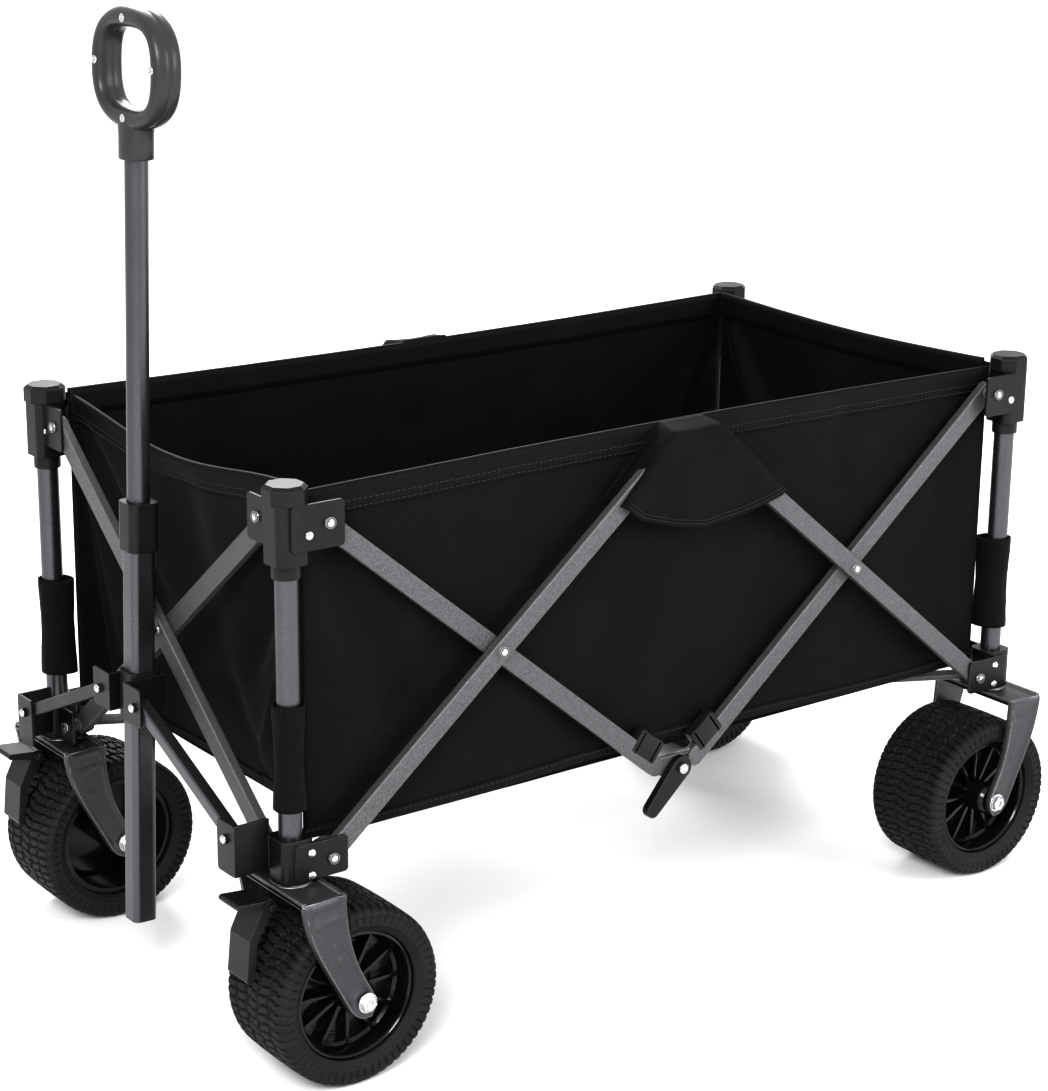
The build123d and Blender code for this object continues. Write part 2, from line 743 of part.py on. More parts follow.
grip_centre = neck_bottom + neck_length - neck_in_loop + grip_height / 2
with BuildPart() as grip:
    with BuildSketch(grip_plane.offset(-grip_depth / 2)) as loop:
        with Locations((0, grip_centre)):
            RectangleRounded(grip_width, grip_height, grip_height * grip_roundness)
            RectangleRounded(
                grip_hole_width, grip_hole_height, grip_hole_height * grip_roundness, mode=Mode.SUBTRACT
            )
    extrude(loop.sketch, amount=grip_depth)
    fillet(grip.edges(), grip_edge)
    with BuildSketch(handle.offset(neck_bottom)):
        Circle(neck_radius)
    extrude(amount=neck_length)
    with BuildSketch(handle.offset(neck_bottom)):
        Circle(high_tube_radius + neck_play)
    extrude(amount=neck_socket + neck_floor_gap, mode=Mode.SUBTRACT)
grip.part.label = "handle_grip"
export_step(grip.part, "parts/handle_grip.step")

# ---------------------------------------------------------------- handle bracket
wing_x = link_x - link_depth / 2 - flange_gap - bracket_plate
wing_bottom = wing_z - wing_below
wing_top = wing_z + wing_above
back_x = handle_x + sleeve_front + bracket_back_gap
cheek_start = sleeve_half + pin_play
wing_plane = Plane((wing_x, 0, 0), x_dir=(0, 1, 0), z_dir=(1, 0, 0))
with BuildPart() as handle_bracket:
    for sign in (-1, 1):
        wing_middle = sign * (cheek_start + wing_reach) / 2
        plate(
            wing_plane,
            (wing_middle, (wing_bottom + wing_top) / 2),
            (wing_reach - cheek_start, wing_top - wing_bottom),
            0,
            bracket_plate,
            wing_corner,
        )
        cheek_at = cheek_start if sign < 0 else -cheek_start - bracket_plate
        with BuildSketch(cheek_plane.offset(cheek_at)) as cheek:
            cheek_left = wing_x - handle_x
            cheek_right = back_x + bracket_plate - handle_x
            with Locations(((cheek_left + cheek_right) / 2, (wing_bottom + wing_top) / 2 - handle_pivot_z)):
                Rectangle(cheek_right - cheek_left, wing_top - wing_bottom)
            Circle(pin_radius + pin_play, mode=Mode.SUBTRACT)
        extrude(cheek.sketch, amount=bracket_plate)
    back_plane = Plane((back_x, 0, 0), x_dir=(0, 1, 0), z_dir=(1, 0, 0))
    back_size = (2 * cheek_start + 2 * bracket_plate, bracket_back_height)
    plate(back_plane, (0, wing_top - bracket_back_height / 2), back_size, 0, bracket_plate, thin_corner)
    rod(
        wing_plane,
        (-wing_y, wing_z),
        small_pin_radius + pin_play,
        -cut_past,
        bracket_plate + cut_past,
        Mode.SUBTRACT,
    )
    rod(wing_plane, (wing_y, wing_z), small_head_radius, -pin_head_gap - head_height, 0)
handle_bracket.part.label = "handle_bracket"
export_step(handle_bracket.part, "parts/handle_bracket.step")

# ---------------------------------------------------------------- handle links
front_view = Plane((link_x, 0, 0), x_dir=(0, -1, 0), z_dir=(-1, 0, 0))
link_front = link_depth / 2 + flange_gap + ear_plate + pin_head_gap
link_length = hypot(ear_y - wing_y, wing_z - ear_z)
for name, sign in (("left", 1), ("right", -1)):
    outer_end = (sign * ear_y, ear_z)
    cut = 0.0 if name == "left" else open_end_cut / link_length
    inner_end = (
        sign * (wing_y + cut * (ear_y - wing_y)),
        wing_z - cut * (wing_z - ear_z),
    )
    with BuildPart() as link:
        link_plate(
            front_view, [outer_end, inner_end], [link_radius, link_radius], -link_depth / 2, link_depth
        )
        fillet(link.edges(), link_edge)
        pins = [outer_end, inner_end] if name == "left" else [outer_end]
        for pin in pins:
            rod(front_view, pin, small_pin_radius, 0, link_front + head_height)
            rod(front_view, pin, small_head_radius, link_front, link_front + head_height)
    link.part.label = f"handle_link_{name}"
    export_step(link.part, f"parts/handle_link_{name}.step")

# ---------------------------------------------------------------- latch levers
for side in ("left", "right"):
    plane = side_planes[side]
    start = outer_layer[side] - layer_pitch + bar_depth / 2 + flange_gap
    middle = (0, low_centre_z)
    tip = (latch_tip[0], low_centre_z + latch_tip[1])
    with BuildPart() as latch:
        link_plate(plane, [middle, tip], [lug_radius, latch_tip_radius], start, latch_thickness)
        rod(
            plane,
            middle,
            pin_radius + pin_play,
            start - cut_past,
            start + latch_thickness + cut_past,
            Mode.SUBTRACT,
        )
    latch.part.label = f"latch_lever_{side}"
    export_step(latch.part, f"parts/latch_lever_{side}.step")

# ---------------------------------------------------------------- fabric tub
tub_half_length = half_length - collar_size / 2 - corner_gap / 2
wall_height = tub_top_z - tub_bottom_z
for side in ("left", "right"):
    with BuildPart() as wall:
        with BuildSketch(side_planes[side].offset(-side_wall_in - cloth)):
            with Locations((0, tub_bottom_z + wall_height / 2)):
                Rectangle(2 * tub_half_length, wall_height)
        extrude(amount=cloth)
    wall.part.label = f"tub_wall_{side}"
    export_step(wall.part, f"parts/tub_wall_{side}.step")

end_half = half_width - side_wall_in - cloth - corner_gap / 2
end_x = half_length - end_wall_in
for name, sign, slope in (("front", -1, front_slope), ("rear", 1, 0.0)):
    with BuildPart() as wall:
        with BuildSketch(Plane.XZ.offset(-end_half)):
            Polygon(
                (sign * end_x, tub_top_z),
                (sign * (end_x - cloth), tub_top_z),
                (sign * (end_x - cloth - slope), tub_bottom_z),
                (sign * (end_x - slope), tub_bottom_z),
                align=None,
            )
        extrude(amount=2 * end_half)
    wall.part.label = f"tub_wall_{name}"
    export_step(wall.part, f"parts/tub_wall_{name}.step")

with BuildPart() as tub_floor:
    front_edge = -end_x + cloth + front_slope + floor_gap
    rear_edge = end_x - cloth - floor_gap
    with BuildSketch(Plane.XY.offset(floor_z)):
        with Locations(((front_edge + rear_edge) / 2, 0)):
            Rectangle(rear_edge - front_edge, 2 * (half_width - side_wall_in - cloth - floor_gap))
    extrude(amount=floor_thickness)
tub_floor.part.label = "tub_floor"
export_step(tub_floor.part, "parts/tub_floor.step")
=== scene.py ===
"""Folding camp wagon: a scissor frame, four wide wheels, a pull handle and a fabric tub.

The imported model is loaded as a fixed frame. Everything here dresses it: cloth, tread,
castings and finishes. Lengths are metres, +Z is up, the handle is at the front (-X).
"""

import logging
import math
from dataclasses import dataclass, field
from enum import Enum
from typing import Callable, Optional, Sequence

import bmesh
import bpy
from mathutils import Matrix, Vector, noise


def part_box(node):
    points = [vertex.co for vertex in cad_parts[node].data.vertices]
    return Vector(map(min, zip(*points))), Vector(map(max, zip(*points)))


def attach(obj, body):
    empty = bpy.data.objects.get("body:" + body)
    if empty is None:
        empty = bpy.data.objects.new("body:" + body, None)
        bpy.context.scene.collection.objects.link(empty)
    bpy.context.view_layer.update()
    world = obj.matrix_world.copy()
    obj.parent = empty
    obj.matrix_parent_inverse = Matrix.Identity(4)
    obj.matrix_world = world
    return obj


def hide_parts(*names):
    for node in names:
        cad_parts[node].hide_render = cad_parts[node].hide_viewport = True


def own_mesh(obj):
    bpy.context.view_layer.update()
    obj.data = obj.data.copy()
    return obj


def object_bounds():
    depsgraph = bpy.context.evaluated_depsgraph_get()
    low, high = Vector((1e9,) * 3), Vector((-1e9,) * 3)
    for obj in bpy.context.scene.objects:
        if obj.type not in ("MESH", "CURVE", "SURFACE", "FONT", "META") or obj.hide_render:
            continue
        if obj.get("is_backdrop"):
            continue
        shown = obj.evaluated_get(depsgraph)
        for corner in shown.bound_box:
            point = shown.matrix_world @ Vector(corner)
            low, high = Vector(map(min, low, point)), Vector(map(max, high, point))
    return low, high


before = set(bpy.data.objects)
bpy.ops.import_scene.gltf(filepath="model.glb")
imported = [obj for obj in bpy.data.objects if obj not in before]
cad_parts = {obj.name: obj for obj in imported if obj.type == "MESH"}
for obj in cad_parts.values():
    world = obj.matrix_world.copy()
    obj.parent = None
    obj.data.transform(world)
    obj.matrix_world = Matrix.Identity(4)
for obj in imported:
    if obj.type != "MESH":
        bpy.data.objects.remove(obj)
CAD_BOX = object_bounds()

log = logging.getLogger("wagon")
MM = 0.001
Point = tuple[float, float, float]


# ------------------------------------------------------------------ shader groups
class Mask(Enum):
    """The shader groups that several finishes share."""

    SPECKLE = "hammertone speckle"
    # EDGES marks the edges that get a painted highlight.
    EDGES = "worn edges"
    WEAVE = "plain weave"
    DUST = "settled dust"


def socket(
    group: bpy.types.NodeTree, name: str, way: str, kind: str, value: Optional[float] = None
) -> None:
    """Adds one named socket to a shader group.

    Args:
        group: the group.
        name: the socket's name.
        way: INPUT or OUTPUT.
        kind: the socket's type.
        value: an input's default.
    """
    made = group.interface.new_socket(name=name, in_out=way, socket_type=kind)
    if value is not None:
        made.default_value = value


class Graph:
    """A short way to write nodes and links in one tree."""

    def __init__(self, tree: bpy.types.NodeTree) -> None:
        """Keeps the tree."""
        self.tree = tree

    def node(self, kind: str, **settings: object) -> bpy.types.Node:
        """Adds a node.

        Args:
            kind: the node's type.
            settings: properties, or inputs where the name starts with in_.

        Returns:
            The node.
        """
        made = self.tree.nodes.new(kind)
        for key, value in settings.items():
            if key.startswith("in_"):
                made.inputs[key[3:].replace("_", " ")].default_value = value
            else:
                setattr(made, key, value)
        return made

    def link(self, a: bpy.types.NodeSocket, b: bpy.types.NodeSocket) -> None:
        """Joins two sockets."""
        self.tree.links.new(a, b)

    def math(self, operation: str, a: object, b: object = 0.0, c: object = 0.0) -> bpy.types.NodeSocket:
        """Adds a math node.

        Args:
            operation: what it does.
            a: its first input, a socket or a number.
            b: its second.
            c: its third.

        Returns:
            Its output.
        """
        made = self.node("ShaderNodeMath", operation=operation)
        for at, value in enumerate((a, b, c)):
            if isinstance(value, bpy.types.NodeSocket):
                self.link(value, made.inputs[at])
            else:
                made.inputs[at].default_value = value
        return made.outputs[0]

    def mix(self, factor: object, a: object, b: object) -> bpy.types.NodeSocket:
        """Mixes two colours.

        Args:
            factor: 0 gives a, 1 gives b.
            a: a colour or a socket.
            b: the same.

        Returns:
            The mixed colour.
        """
        made = self.node("ShaderNodeMix", data_type="RGBA")
        for at, value in ((0, factor), (6, a), (7, b)):
            if isinstance(value, bpy.types.NodeSocket):
                self.link(value, made.inputs[at])
            else:
                made.inputs[at].default_value = value
        return made.outputs[2]


def new_group(
    mask: Mask, inputs: dict[str, float], outputs: dict[str, str]
) -> tuple[Graph, object, object]:
    """Starts a shader group.

    Args:
        mask: which group.
        inputs: name and default of each number that it takes.
        outputs: name and type of each thing that it gives.

    Returns:
        The graph, its input node and its output node.
    """
    tree = bpy.data.node_groups.new(mask.value, "ShaderNodeTree")
    for name, value in inputs.items():
        socket(tree, name, "INPUT", "NodeSocketFloat", value)
    for name, kind in outputs.items():
        socket(tree, name, "OUTPUT", kind)
    graph = Graph(tree)
    return graph, graph.node("NodeGroupInput"), graph.node("NodeGroupOutput")


def speckle_group() -> None:
    """Builds the pebbled grain of a hammertone or moulded surface."""
    g, gin, out = new_group(
        Mask.SPECKLE, {"Scale": 900.0, "Contrast": 1.0}, {
            "Grain": "NodeSocketFloat", "Patches": "NodeSocketFloat"
        }
    )
    where = g.node("ShaderNodeTexCoord")
    fine = g.node("ShaderNodeTexNoise", in_Detail=3.0, in_Roughness=0.65)
    wide = g.node("ShaderNodeTexNoise", in_Scale=22.0, in_Detail=4.0)
    g.link(where.outputs["Object"], fine.inputs["Vector"])
    g.link(where.outputs["Object"], wide.inputs["Vector"])
    g.link(gin.outputs["Scale"], fine.inputs["Scale"])
    spread = g.math("MULTIPLY", g.math("SUBTRACT", fine.outputs["Fac"], 0.5), gin.outputs["Contrast"])
    g.link(g.math("MULTIPLY_ADD", spread, 3.2, 0.5), out.inputs["Grain"])
    g.link(wide.outputs["Fac"], out.inputs["Patches"])


def edge_highlight_group() -> None:
    """Builds the mask of edges that finishes lighten as a painted highlight, and the rounded normal."""
    g, gin, out = new_group(
        Mask.EDGES, {"Width": 0.0012}, {"Edge": "NodeSocketFloat", "Normal": "NodeSocketVector"}
    )
    rounded = g.node("ShaderNodeBevel", samples=4)
    g.link(gin.outputs["Width"], rounded.inputs["Radius"])
    flat = g.node("ShaderNodeNewGeometry")
    dot = g.node("ShaderNodeVectorMath", operation="DOT_PRODUCT")
    g.link(rounded.outputs["Normal"], dot.inputs[0])
    g.link(flat.outputs["Normal"], dot.inputs[1])
    turned = g.math("SUBTRACT", 1.0, dot.outputs["Value"])
    g.link(g.math("MINIMUM", g.math("MULTIPLY", turned, 6.0), 1.0), out.inputs["Edge"])
    g.link(rounded.outputs["Normal"], out.inputs["Normal"])


def weave_group() -> None:
    """Builds a plain weave from the cloth's own flat coordinates."""
    g, gin, out = new_group(
        Mask.WEAVE,
        {"Threads": 1500.0},
        {"Height": "NodeSocketFloat", "Shade": "NodeSocketFloat", "Patches": "NodeSocketFloat"},
    )
    where = g.node("ShaderNodeUVMap", uv_map="cloth")
    parts = g.node("ShaderNodeSeparateXYZ")
    g.link(where.outputs["UV"], parts.inputs[0])
    warp = g.math(
        "SINE",
        g.math("MULTIPLY", parts.outputs["X"], g.math("MULTIPLY", gin.outputs["Threads"], math.tau / 2)),
    )
    weft = g.math(
        "SINE",
        g.math("MULTIPLY", parts.outputs["Y"], g.math("MULTIPLY", gin.outputs["Threads"], math.tau / 2)),
    )
    g.link(g.math("MULTIPLY", warp, weft), out.inputs["Height"])
    slub = g.node("ShaderNodeTexNoise", in_Scale=260.0, in_Detail=2.0)
    wide = g.node("ShaderNodeTexNoise", in_Scale=9.0, in_Detail=5.0)
    g.link(where.outputs["UV"], slub.inputs["Vector"])
    g.link(where.outputs["UV"], wide.inputs["Vector"])
    g.link(slub.outputs["Fac"], out.inputs["Shade"])
    g.link(wide.outputs["Fac"], out.inputs["Patches"])


def dust_group() -> None:
    """Builds the mask of fine dust in noisy patches."""
    g, gin, out = new_group(Mask.DUST, {"Amount": 0.3}, {"Dust": "NodeSocketFloat"})
    where = g.node("ShaderNodeTexCoord")
    patchy = g.node("ShaderNodeTexNoise", in_Scale=14.0, in_Detail=6.0, in_Roughness=0.6)
    g.link(where.outputs["Object"], patchy.inputs["Vector"])
    ramp = g.node("ShaderNodeMapRange")
    ramp.inputs["From Min"].default_value = 0.45
    ramp.inputs["From Max"].default_value = 0.85
    g.link(patchy.outputs["Fac"], ramp.inputs["Value"])
    g.link(g.math("MULTIPLY", ramp.outputs["Result"], gin.outputs["Amount"]), out.inputs["Dust"])


# ------------------------------------------------------------------ finishes
Colour = tuple[float, float, float]


def rgba(colour: Colour) -> tuple[float, float, float, float]:
    """A colour with full cover."""
    return (*colour, 1.0)


@dataclass(frozen=True)
class Finish:
    """What every finish has.

    Attributes:
        name: the material's name.
        base: the main colour.
        light: the colour of the painted highlight on edges, and of bright specks and patches.
        rough: roughness of the plain surface.
        metal: metallic share.
        gloss: strength of the plain reflection.
    """

    name: str
    base: Colour
    light: Colour
    rough: float = 0.5
    metal: float = 0.0
    gloss: float = 0.22

    def start(self) -> tuple[bpy.types.Material, Graph, bpy.types.Node]:
        """Makes an empty material.

        Returns:
            The material, its graph and its Principled BSDF.
        """
        material = bpy.data.materials.new(self.name)
        material.use_nodes = True
        graph = Graph(material.node_tree)
        shader = material.node_tree.nodes["Principled BSDF"]
        shader.inputs["Metallic"].default_value = self.metal
        shader.inputs["Specular IOR Level"].default_value = self.gloss
        return material, graph, shader

    def group(self, graph: Graph, mask: Mask, **values: float) -> bpy.types.Node:
        """Places a shared group with this finish's own values."""
        made = graph.node("ShaderNodeGroup", node_tree=bpy.data.node_groups[mask.value])
        for key, value in values.items():
            made.inputs[key].default_value = value
        return made


@dataclass(frozen=True)
class CoatedMetal(Finish):
    """Powder-coated or hammertone metal.

    Attributes:
        grain: pebbles in a metre.
        contrast: how far the pebbles stand out in colour.
        depth: bump strength of the pebbles.
        edge: how much of the light colour is painted on edges as a highlight.
        dust: how dusty it is.
    """

    grain: float = 900.0
    contrast: float = 1.0
    depth: float = 0.2
    edge: float = 0.6
    dust: float = 0.1

    def build(self) -> bpy.types.Material:
        """Builds the material."""
        material, g, shader = self.start()
        speckle = self.group(g, Mask.SPECKLE, Scale=self.grain, Contrast=self.contrast)
        edges = self.group(g, Mask.EDGES, Width=0.0011)
        dust = self.group(g, Mask.DUST, Amount=self.dust)
        dark = tuple(c * 0.55 for c in self.base)
        grainy = g.mix(speckle.outputs["Grain"], rgba(dark), rgba(self.base))
        # Painted highlight: the edge mask lightens every edge towards the light colour.
        lightened = g.mix(g.math("MULTIPLY", edges.outputs["Edge"], self.edge), grainy, rgba(self.light))
        g.link(g.mix(dust.outputs["Dust"], lightened, rgba((0.16, 0.15, 0.14))), shader.inputs["Base Color"])
        rough = g.math("MULTIPLY_ADD", speckle.outputs["Patches"], 0.22, self.rough - 0.11)
        g.link(rough, shader.inputs["Roughness"])
        bump = g.node("ShaderNodeBump", in_Distance=0.0002, in_Strength=self.depth)
        g.link(speckle.outputs["Grain"], bump.inputs["Height"])
        g.link(edges.outputs["Normal"], bump.inputs["Normal"])
        g.link(bump.outputs["Normal"], shader.inputs["Normal"])
        return material


@dataclass(frozen=True)
class Cloth(Finish):
    """Coated polyester in a plain weave.

    Attributes:
        threads: threads in a metre.
        dust: how dusty it is.
    """

    threads: float = 1500.0
    dust: float = 0.12

    def build(self) -> bpy.types.Material:
        """Builds the material."""
        material, g, shader = self.start()
        weave = self.group(g, Mask.WEAVE, Threads=self.threads)
        dust = self.group(g, Mask.DUST, Amount=self.dust)
        yarn = g.mix(weave.outputs["Shade"], rgba(self.base), rgba(self.light))
        lightened = g.mix(g.math("MULTIPLY", weave.outputs["Patches"], 0.35), yarn, rgba(self.light))
        g.link(g.mix(dust.outputs["Dust"], lightened, rgba((0.10, 0.10, 0.10))), shader.inputs["Base Color"])
        g.link(
            g.math("MULTIPLY_ADD", weave.outputs["Patches"], 0.2, self.rough - 0.1),
            shader.inputs["Roughness"],
        )
        shader.inputs["Sheen Weight"].default_value = 0.02
        shader.inputs["Sheen Roughness"].default_value = 0.45
        bump = g.node("ShaderNodeBump", in_Distance=0.0002, in_Strength=0.35)
        g.link(weave.outputs["Height"], bump.inputs["Height"])
        g.link(bump.outputs["Normal"], shader.inputs["Normal"])
        return material


@dataclass(frozen=True)
class Moulding(Finish):
    """Moulded plastic or rubber with a fine texture.

    Attributes:
        grain: pebbles in a metre.
        depth: bump strength of the texture.
        coat: clear gloss over it.
        dust: how dusty it is.
    """

    grain: float = 1400.0
    depth: float = 0.15
    coat: float = 0.0
    dust: float = 0.15

    def build(self) -> bpy.types.Material:
        """Builds the material."""
        material, g, shader = self.start()
        speckle = self.group(g, Mask.SPECKLE, Scale=self.grain, Contrast=0.6)
        edges = self.group(g, Mask.EDGES, Width=0.0009)
        dust = self.group(g, Mask.DUST, Amount=self.dust)
        tone = g.mix(g.math("MULTIPLY", speckle.outputs["Patches"], 0.5), rgba(self.base), rgba(self.light))
        # Painted highlight: the edge mask lightens every edge towards the light colour.
        lightened = g.mix(g.math("MULTIPLY", edges.outputs["Edge"], 0.35), tone, rgba(self.light))
        g.link(g.mix(dust.outputs["Dust"], lightened, rgba((0.13, 0.125, 0.12))), shader.inputs["Base Color"])
        g.link(
            g.math("MULTIPLY_ADD", speckle.outputs["Patches"], 0.2, self.rough - 0.1),
            shader.inputs["Roughness"],
        )
        shader.inputs["Coat Weight"].default_value = self.coat
        shader.inputs["Coat Roughness"].default_value = 0.08
        bump = g.node("ShaderNodeBump", in_Distance=0.0002, in_Strength=self.depth)
        g.link(speckle.outputs["Grain"], bump.inputs["Height"])
        g.link(edges.outputs["Normal"], bump.inputs["Normal"])
        g.link(bump.outputs["Normal"], shader.inputs["Normal"])
        return material


class Coat(Enum):
    """The finishes of this wagon."""

    # In the metals and mouldings, the light colour is painted on edges as a highlight.
    HAMMERTONE = CoatedMetal(
        "hammertone silver", (0.115, 0.117, 0.122), (0.52, 0.52, 0.53), 0.38, 0.4,
        0.4, contrast=2.2, depth=0.6, edge=0.8, dust=0.0,
    )
    GREY_TUBE = CoatedMetal(
        "satin grey tube", (0.115, 0.117, 0.124), (0.34, 0.34, 0.35), 0.30, 0.85,
        0.4, contrast=0.5, depth=0.1, dust=0.0,
    )
    BLACK_STEEL = CoatedMetal(
        "black coated steel", (0.010, 0.010, 0.011), (0.10, 0.10, 0.105), 0.36, 0.1,
        0.3, contrast=0.5, depth=0.2, dust=0.03,
    )
    GUNMETAL = CoatedMetal(
        "gunmetal casting", (0.075, 0.076, 0.081), (0.42, 0.42, 0.43), 0.34, 0.6,
        0.4, contrast=0.9, depth=0.35, edge=0.95, dust=0.02,
    )
    RIVET = CoatedMetal(
        "bright rivet", (0.66, 0.66, 0.67), (0.88, 0.88, 0.89), 0.22, 1.0,
        0.5, contrast=0.2, depth=0.05, edge=0.3, dust=0.0,
    )
    BLACK_PLASTIC = Moulding("black nylon", (0.006, 0.006, 0.0065), (0.028, 0.028, 0.029), 0.36, dust=0.04)
    GRIP = Moulding("satin grip", (0.022, 0.022, 0.023), (0.060, 0.060, 0.063), 0.34, coat=0.06, dust=0.03)
    HUB = Moulding(
        "gloss hub", (0.003, 0.003, 0.0033), (0.012, 0.012, 0.0125), 0.22, depth=0.03, coat=0.35, dust=0.02
    )
    TYRE = Moulding(
        "tread rubber", (0.008, 0.008, 0.0083), (0.026, 0.026, 0.0265), 0.58,
        gloss=0.16, grain=2200.0, depth=0.25, dust=0.08,
    )
    POLYESTER = Cloth(
        "black polyester", (0.0032, 0.0032, 0.0034), (0.0078, 0.0078, 0.0082), 0.68, gloss=0.09, dust=0.02
    )
    WEBBING = Cloth(
        "black webbing",
        (0.0030, 0.0030, 0.0032),
        (0.0085, 0.0085, 0.009),
        0.62,
        gloss=0.10,
        threads=700.0,
        dust=0.02,
    )
    THREAD = Cloth(
        "black thread",
        (0.014, 0.014, 0.0145),
        (0.034, 0.034, 0.035),
        0.6,
        gloss=0.15,
        threads=3000.0,
        dust=0.0,
    )

    @property
    def material(self) -> bpy.types.Material:
        """The material, built the first time that it is asked for."""
        found = bpy.data.materials.get(self.value.name)
        return found or self.value.build()


# ------------------------------------------------------------------ making meshes
def piece(
    name: str, mesh: bpy.types.Mesh, coat: Coat, body: str, slot: str, smooth: bool = True
) -> bpy.types.Object:
    """Puts a mesh in the scene, dressed and riding on a body.

    Args:
        name: the piece's name.
        mesh: its mesh, in the frame.
        coat: its finish.
        body: the body that it moves with.
        slot: a material slot's name; not used.
        smooth: whether its faces are shaded smooth.

    Returns:
        The object.
    """
    made = bpy.data.objects.new(name, mesh)
    bpy.context.scene.collection.objects.link(made)
    if not mesh.materials:
        mesh.materials.append(coat.material)
    if smooth:
        mesh.polygons.foreach_set("use_smooth", [True] * len(mesh.polygons))
    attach(made, body)
    log.info("%s: %d faces on %s", name, len(mesh.polygons), body)
    return made


def mesh_of(name: str, points: Sequence[Point], faces: Sequence[Sequence[int]]) -> bpy.types.Mesh:
    """Makes a mesh with outward normals.

    Args:
        name: its name.
        points: its vertices.
        faces: its faces.

    Returns:
        The mesh.
    """
    mesh = bpy.data.meshes.new(name)
    mesh.from_pydata([tuple(p) for p in points], [], [tuple(f) for f in faces])
    bm = bmesh.new()
    bm.from_mesh(mesh)
    bmesh.ops.recalc_face_normals(bm, faces=bm.faces)
    bm.to_mesh(mesh)
    bm.free()
    return mesh


class Shape:
    """A mesh that is put together from simple solids."""

    def __init__(self) -> None:
        """Starts empty."""
        self.points: list[Vector] = []
        self.faces: list[list[int]] = []

    def add(self, points: Sequence[Vector], faces: Sequence[Sequence[int]]) -> None:
        """Adds vertices and the faces on them."""
        base = len(self.points)
        self.points += [Vector(p) for p in points]
        self.faces += [[base + i for i in f] for f in faces]

    def lathe(
        self, foot: Vector, axis: Vector, profile: Sequence[tuple[float, float]], sides: int = 24
    ) -> None:
        """Adds a turned solid.

        Args:
            foot: where its axis starts.
            axis: its direction.
            profile: (radius, height) from one end to the other.
            sides: how many facets go round.
        """
        along = Vector(axis).normalized()
        right = along.orthogonal().normalized()
        up = along.cross(right)
        rings = []
        for radius, height in profile:
            ring = []
            for i in range(sides):
                turn = math.tau * i / sides
                ring.append(
                    foot + along * height + (
                        right * math.cos(turn) + up * math.sin(turn)
                    ) * max(radius, 1e-5)
                )
            rings.append(ring)
        faces = []
        for r in range(len(rings) - 1):
            for i in range(sides):
                j = (i + 1) % sides
                faces.append([r * sides + i, r * sides + j, (r + 1) * sides + j, (r + 1) * sides + i])
        faces.append(list(range(sides))[::-1])
        faces.append([(len(rings) - 1) * sides + i for i in range(sides)])
        self.add([p for ring in rings for p in ring], faces)

    def dome(self, foot: Vector, axis: Vector, radius: float, height: float, sides: int = 20) -> None:
        """Adds a rivet head with a low rim."""
        steps = 5
        profile = [(radius * 0.98, -0.0004), (radius, height * 0.18)]
        for i in range(1, steps + 1):
            turn = math.pi / 2 * i / steps
            profile.append((radius * 0.92 * math.cos(turn), height * (0.25 + 0.75 * math.sin(turn))))
        self.lathe(foot, axis, profile, sides)

    def block(self, centre: Vector, x: Vector, y: Vector, z: Vector, edge: float = 0.0) -> None:
        """Adds a box with cut edges.

        Args:
            centre: its middle.
            x: half of its first side.
            y: half of its second side.
            z: half of its third side.
            edge: how wide the cut edges are.
        """
        bm = bmesh.new()
        bmesh.ops.create_cube(bm, size=2.0)
        scale = Matrix((
            (x.x, y.x, z.x, centre.x),
            (x.y, y.y, z.y, centre.y),
            (x.z, y.z, z.z, centre.z),
            (0.0, 0.0, 0.0, 1.0),
        ))
        bmesh.ops.transform(bm, matrix=scale, verts=bm.verts)
        if edge:
            bmesh.ops.bevel(bm, geom=bm.edges[:], offset=edge, segments=2, affect="EDGES", profile=0.6)
        bm.verts.index_update()
        self.add([v.co.copy() for v in bm.verts], [[v.index for v in f.verts] for f in bm.faces])
        bm.free()

    def grid(self, rows: Sequence[Sequence[Vector]], closed: bool = False) -> None:
        """Adds a skin over rows of points; closed joins the last row to the first."""
        wide = len(rows[0])
        count = len(rows)
        faces = []
        for r in range(count if closed else count - 1):
            n = (r + 1) % count
            for i in range(wide - 1):
                faces.append([r * wide + i, r * wide + i + 1, n * wide + i + 1, n * wide + i])
        self.add([p for row in rows for p in row], faces)

    def mesh(self, name: str) -> bpy.types.Mesh:
        """The finished mesh."""
        return mesh_of(name, self.points, self.faces)


def smooth_step(low: float, high: float, value: float) -> float:
    """Rises from 0 at low to 1 at high."""
    share = min(1.0, max(0.0, (value - low) / (high - low)))
    return share * share * (3 - 2 * share)


def blend_between(a: float, b: float, share: float) -> float:
    """The value a share of the way from a to b."""
    return a + (b - a) * share


# ------------------------------------------------------------------ the frame's sizes
@dataclass(frozen=True)
class Side:
    """One side of the wagon: u runs along it, w points out from the post axes.

    Attributes:
        name: left, right, front or rear.
        origin: the middle of the side at ground level.
        along: the direction of u.
        out: the direction of w.
        head: the body that its cloth rides on.
        anchor: a u at one end of the side, read but not used to fold anything.
        keep: the share of its length left when folded; not used.
    """

    name: str
    origin: Vector
    along: Vector
    out: Vector
    head: str
    anchor: float
    keep: float

    def at(self, u: float, z: float, w: float) -> Vector:
        """A point of the side in the frame."""
        return self.origin + self.along * u + self.out * w + Vector((0, 0, z))

    def spot(self, u: float) -> Vector:
        """The point on the ground under u."""
        return self.at(u, 0.0, 0.0)


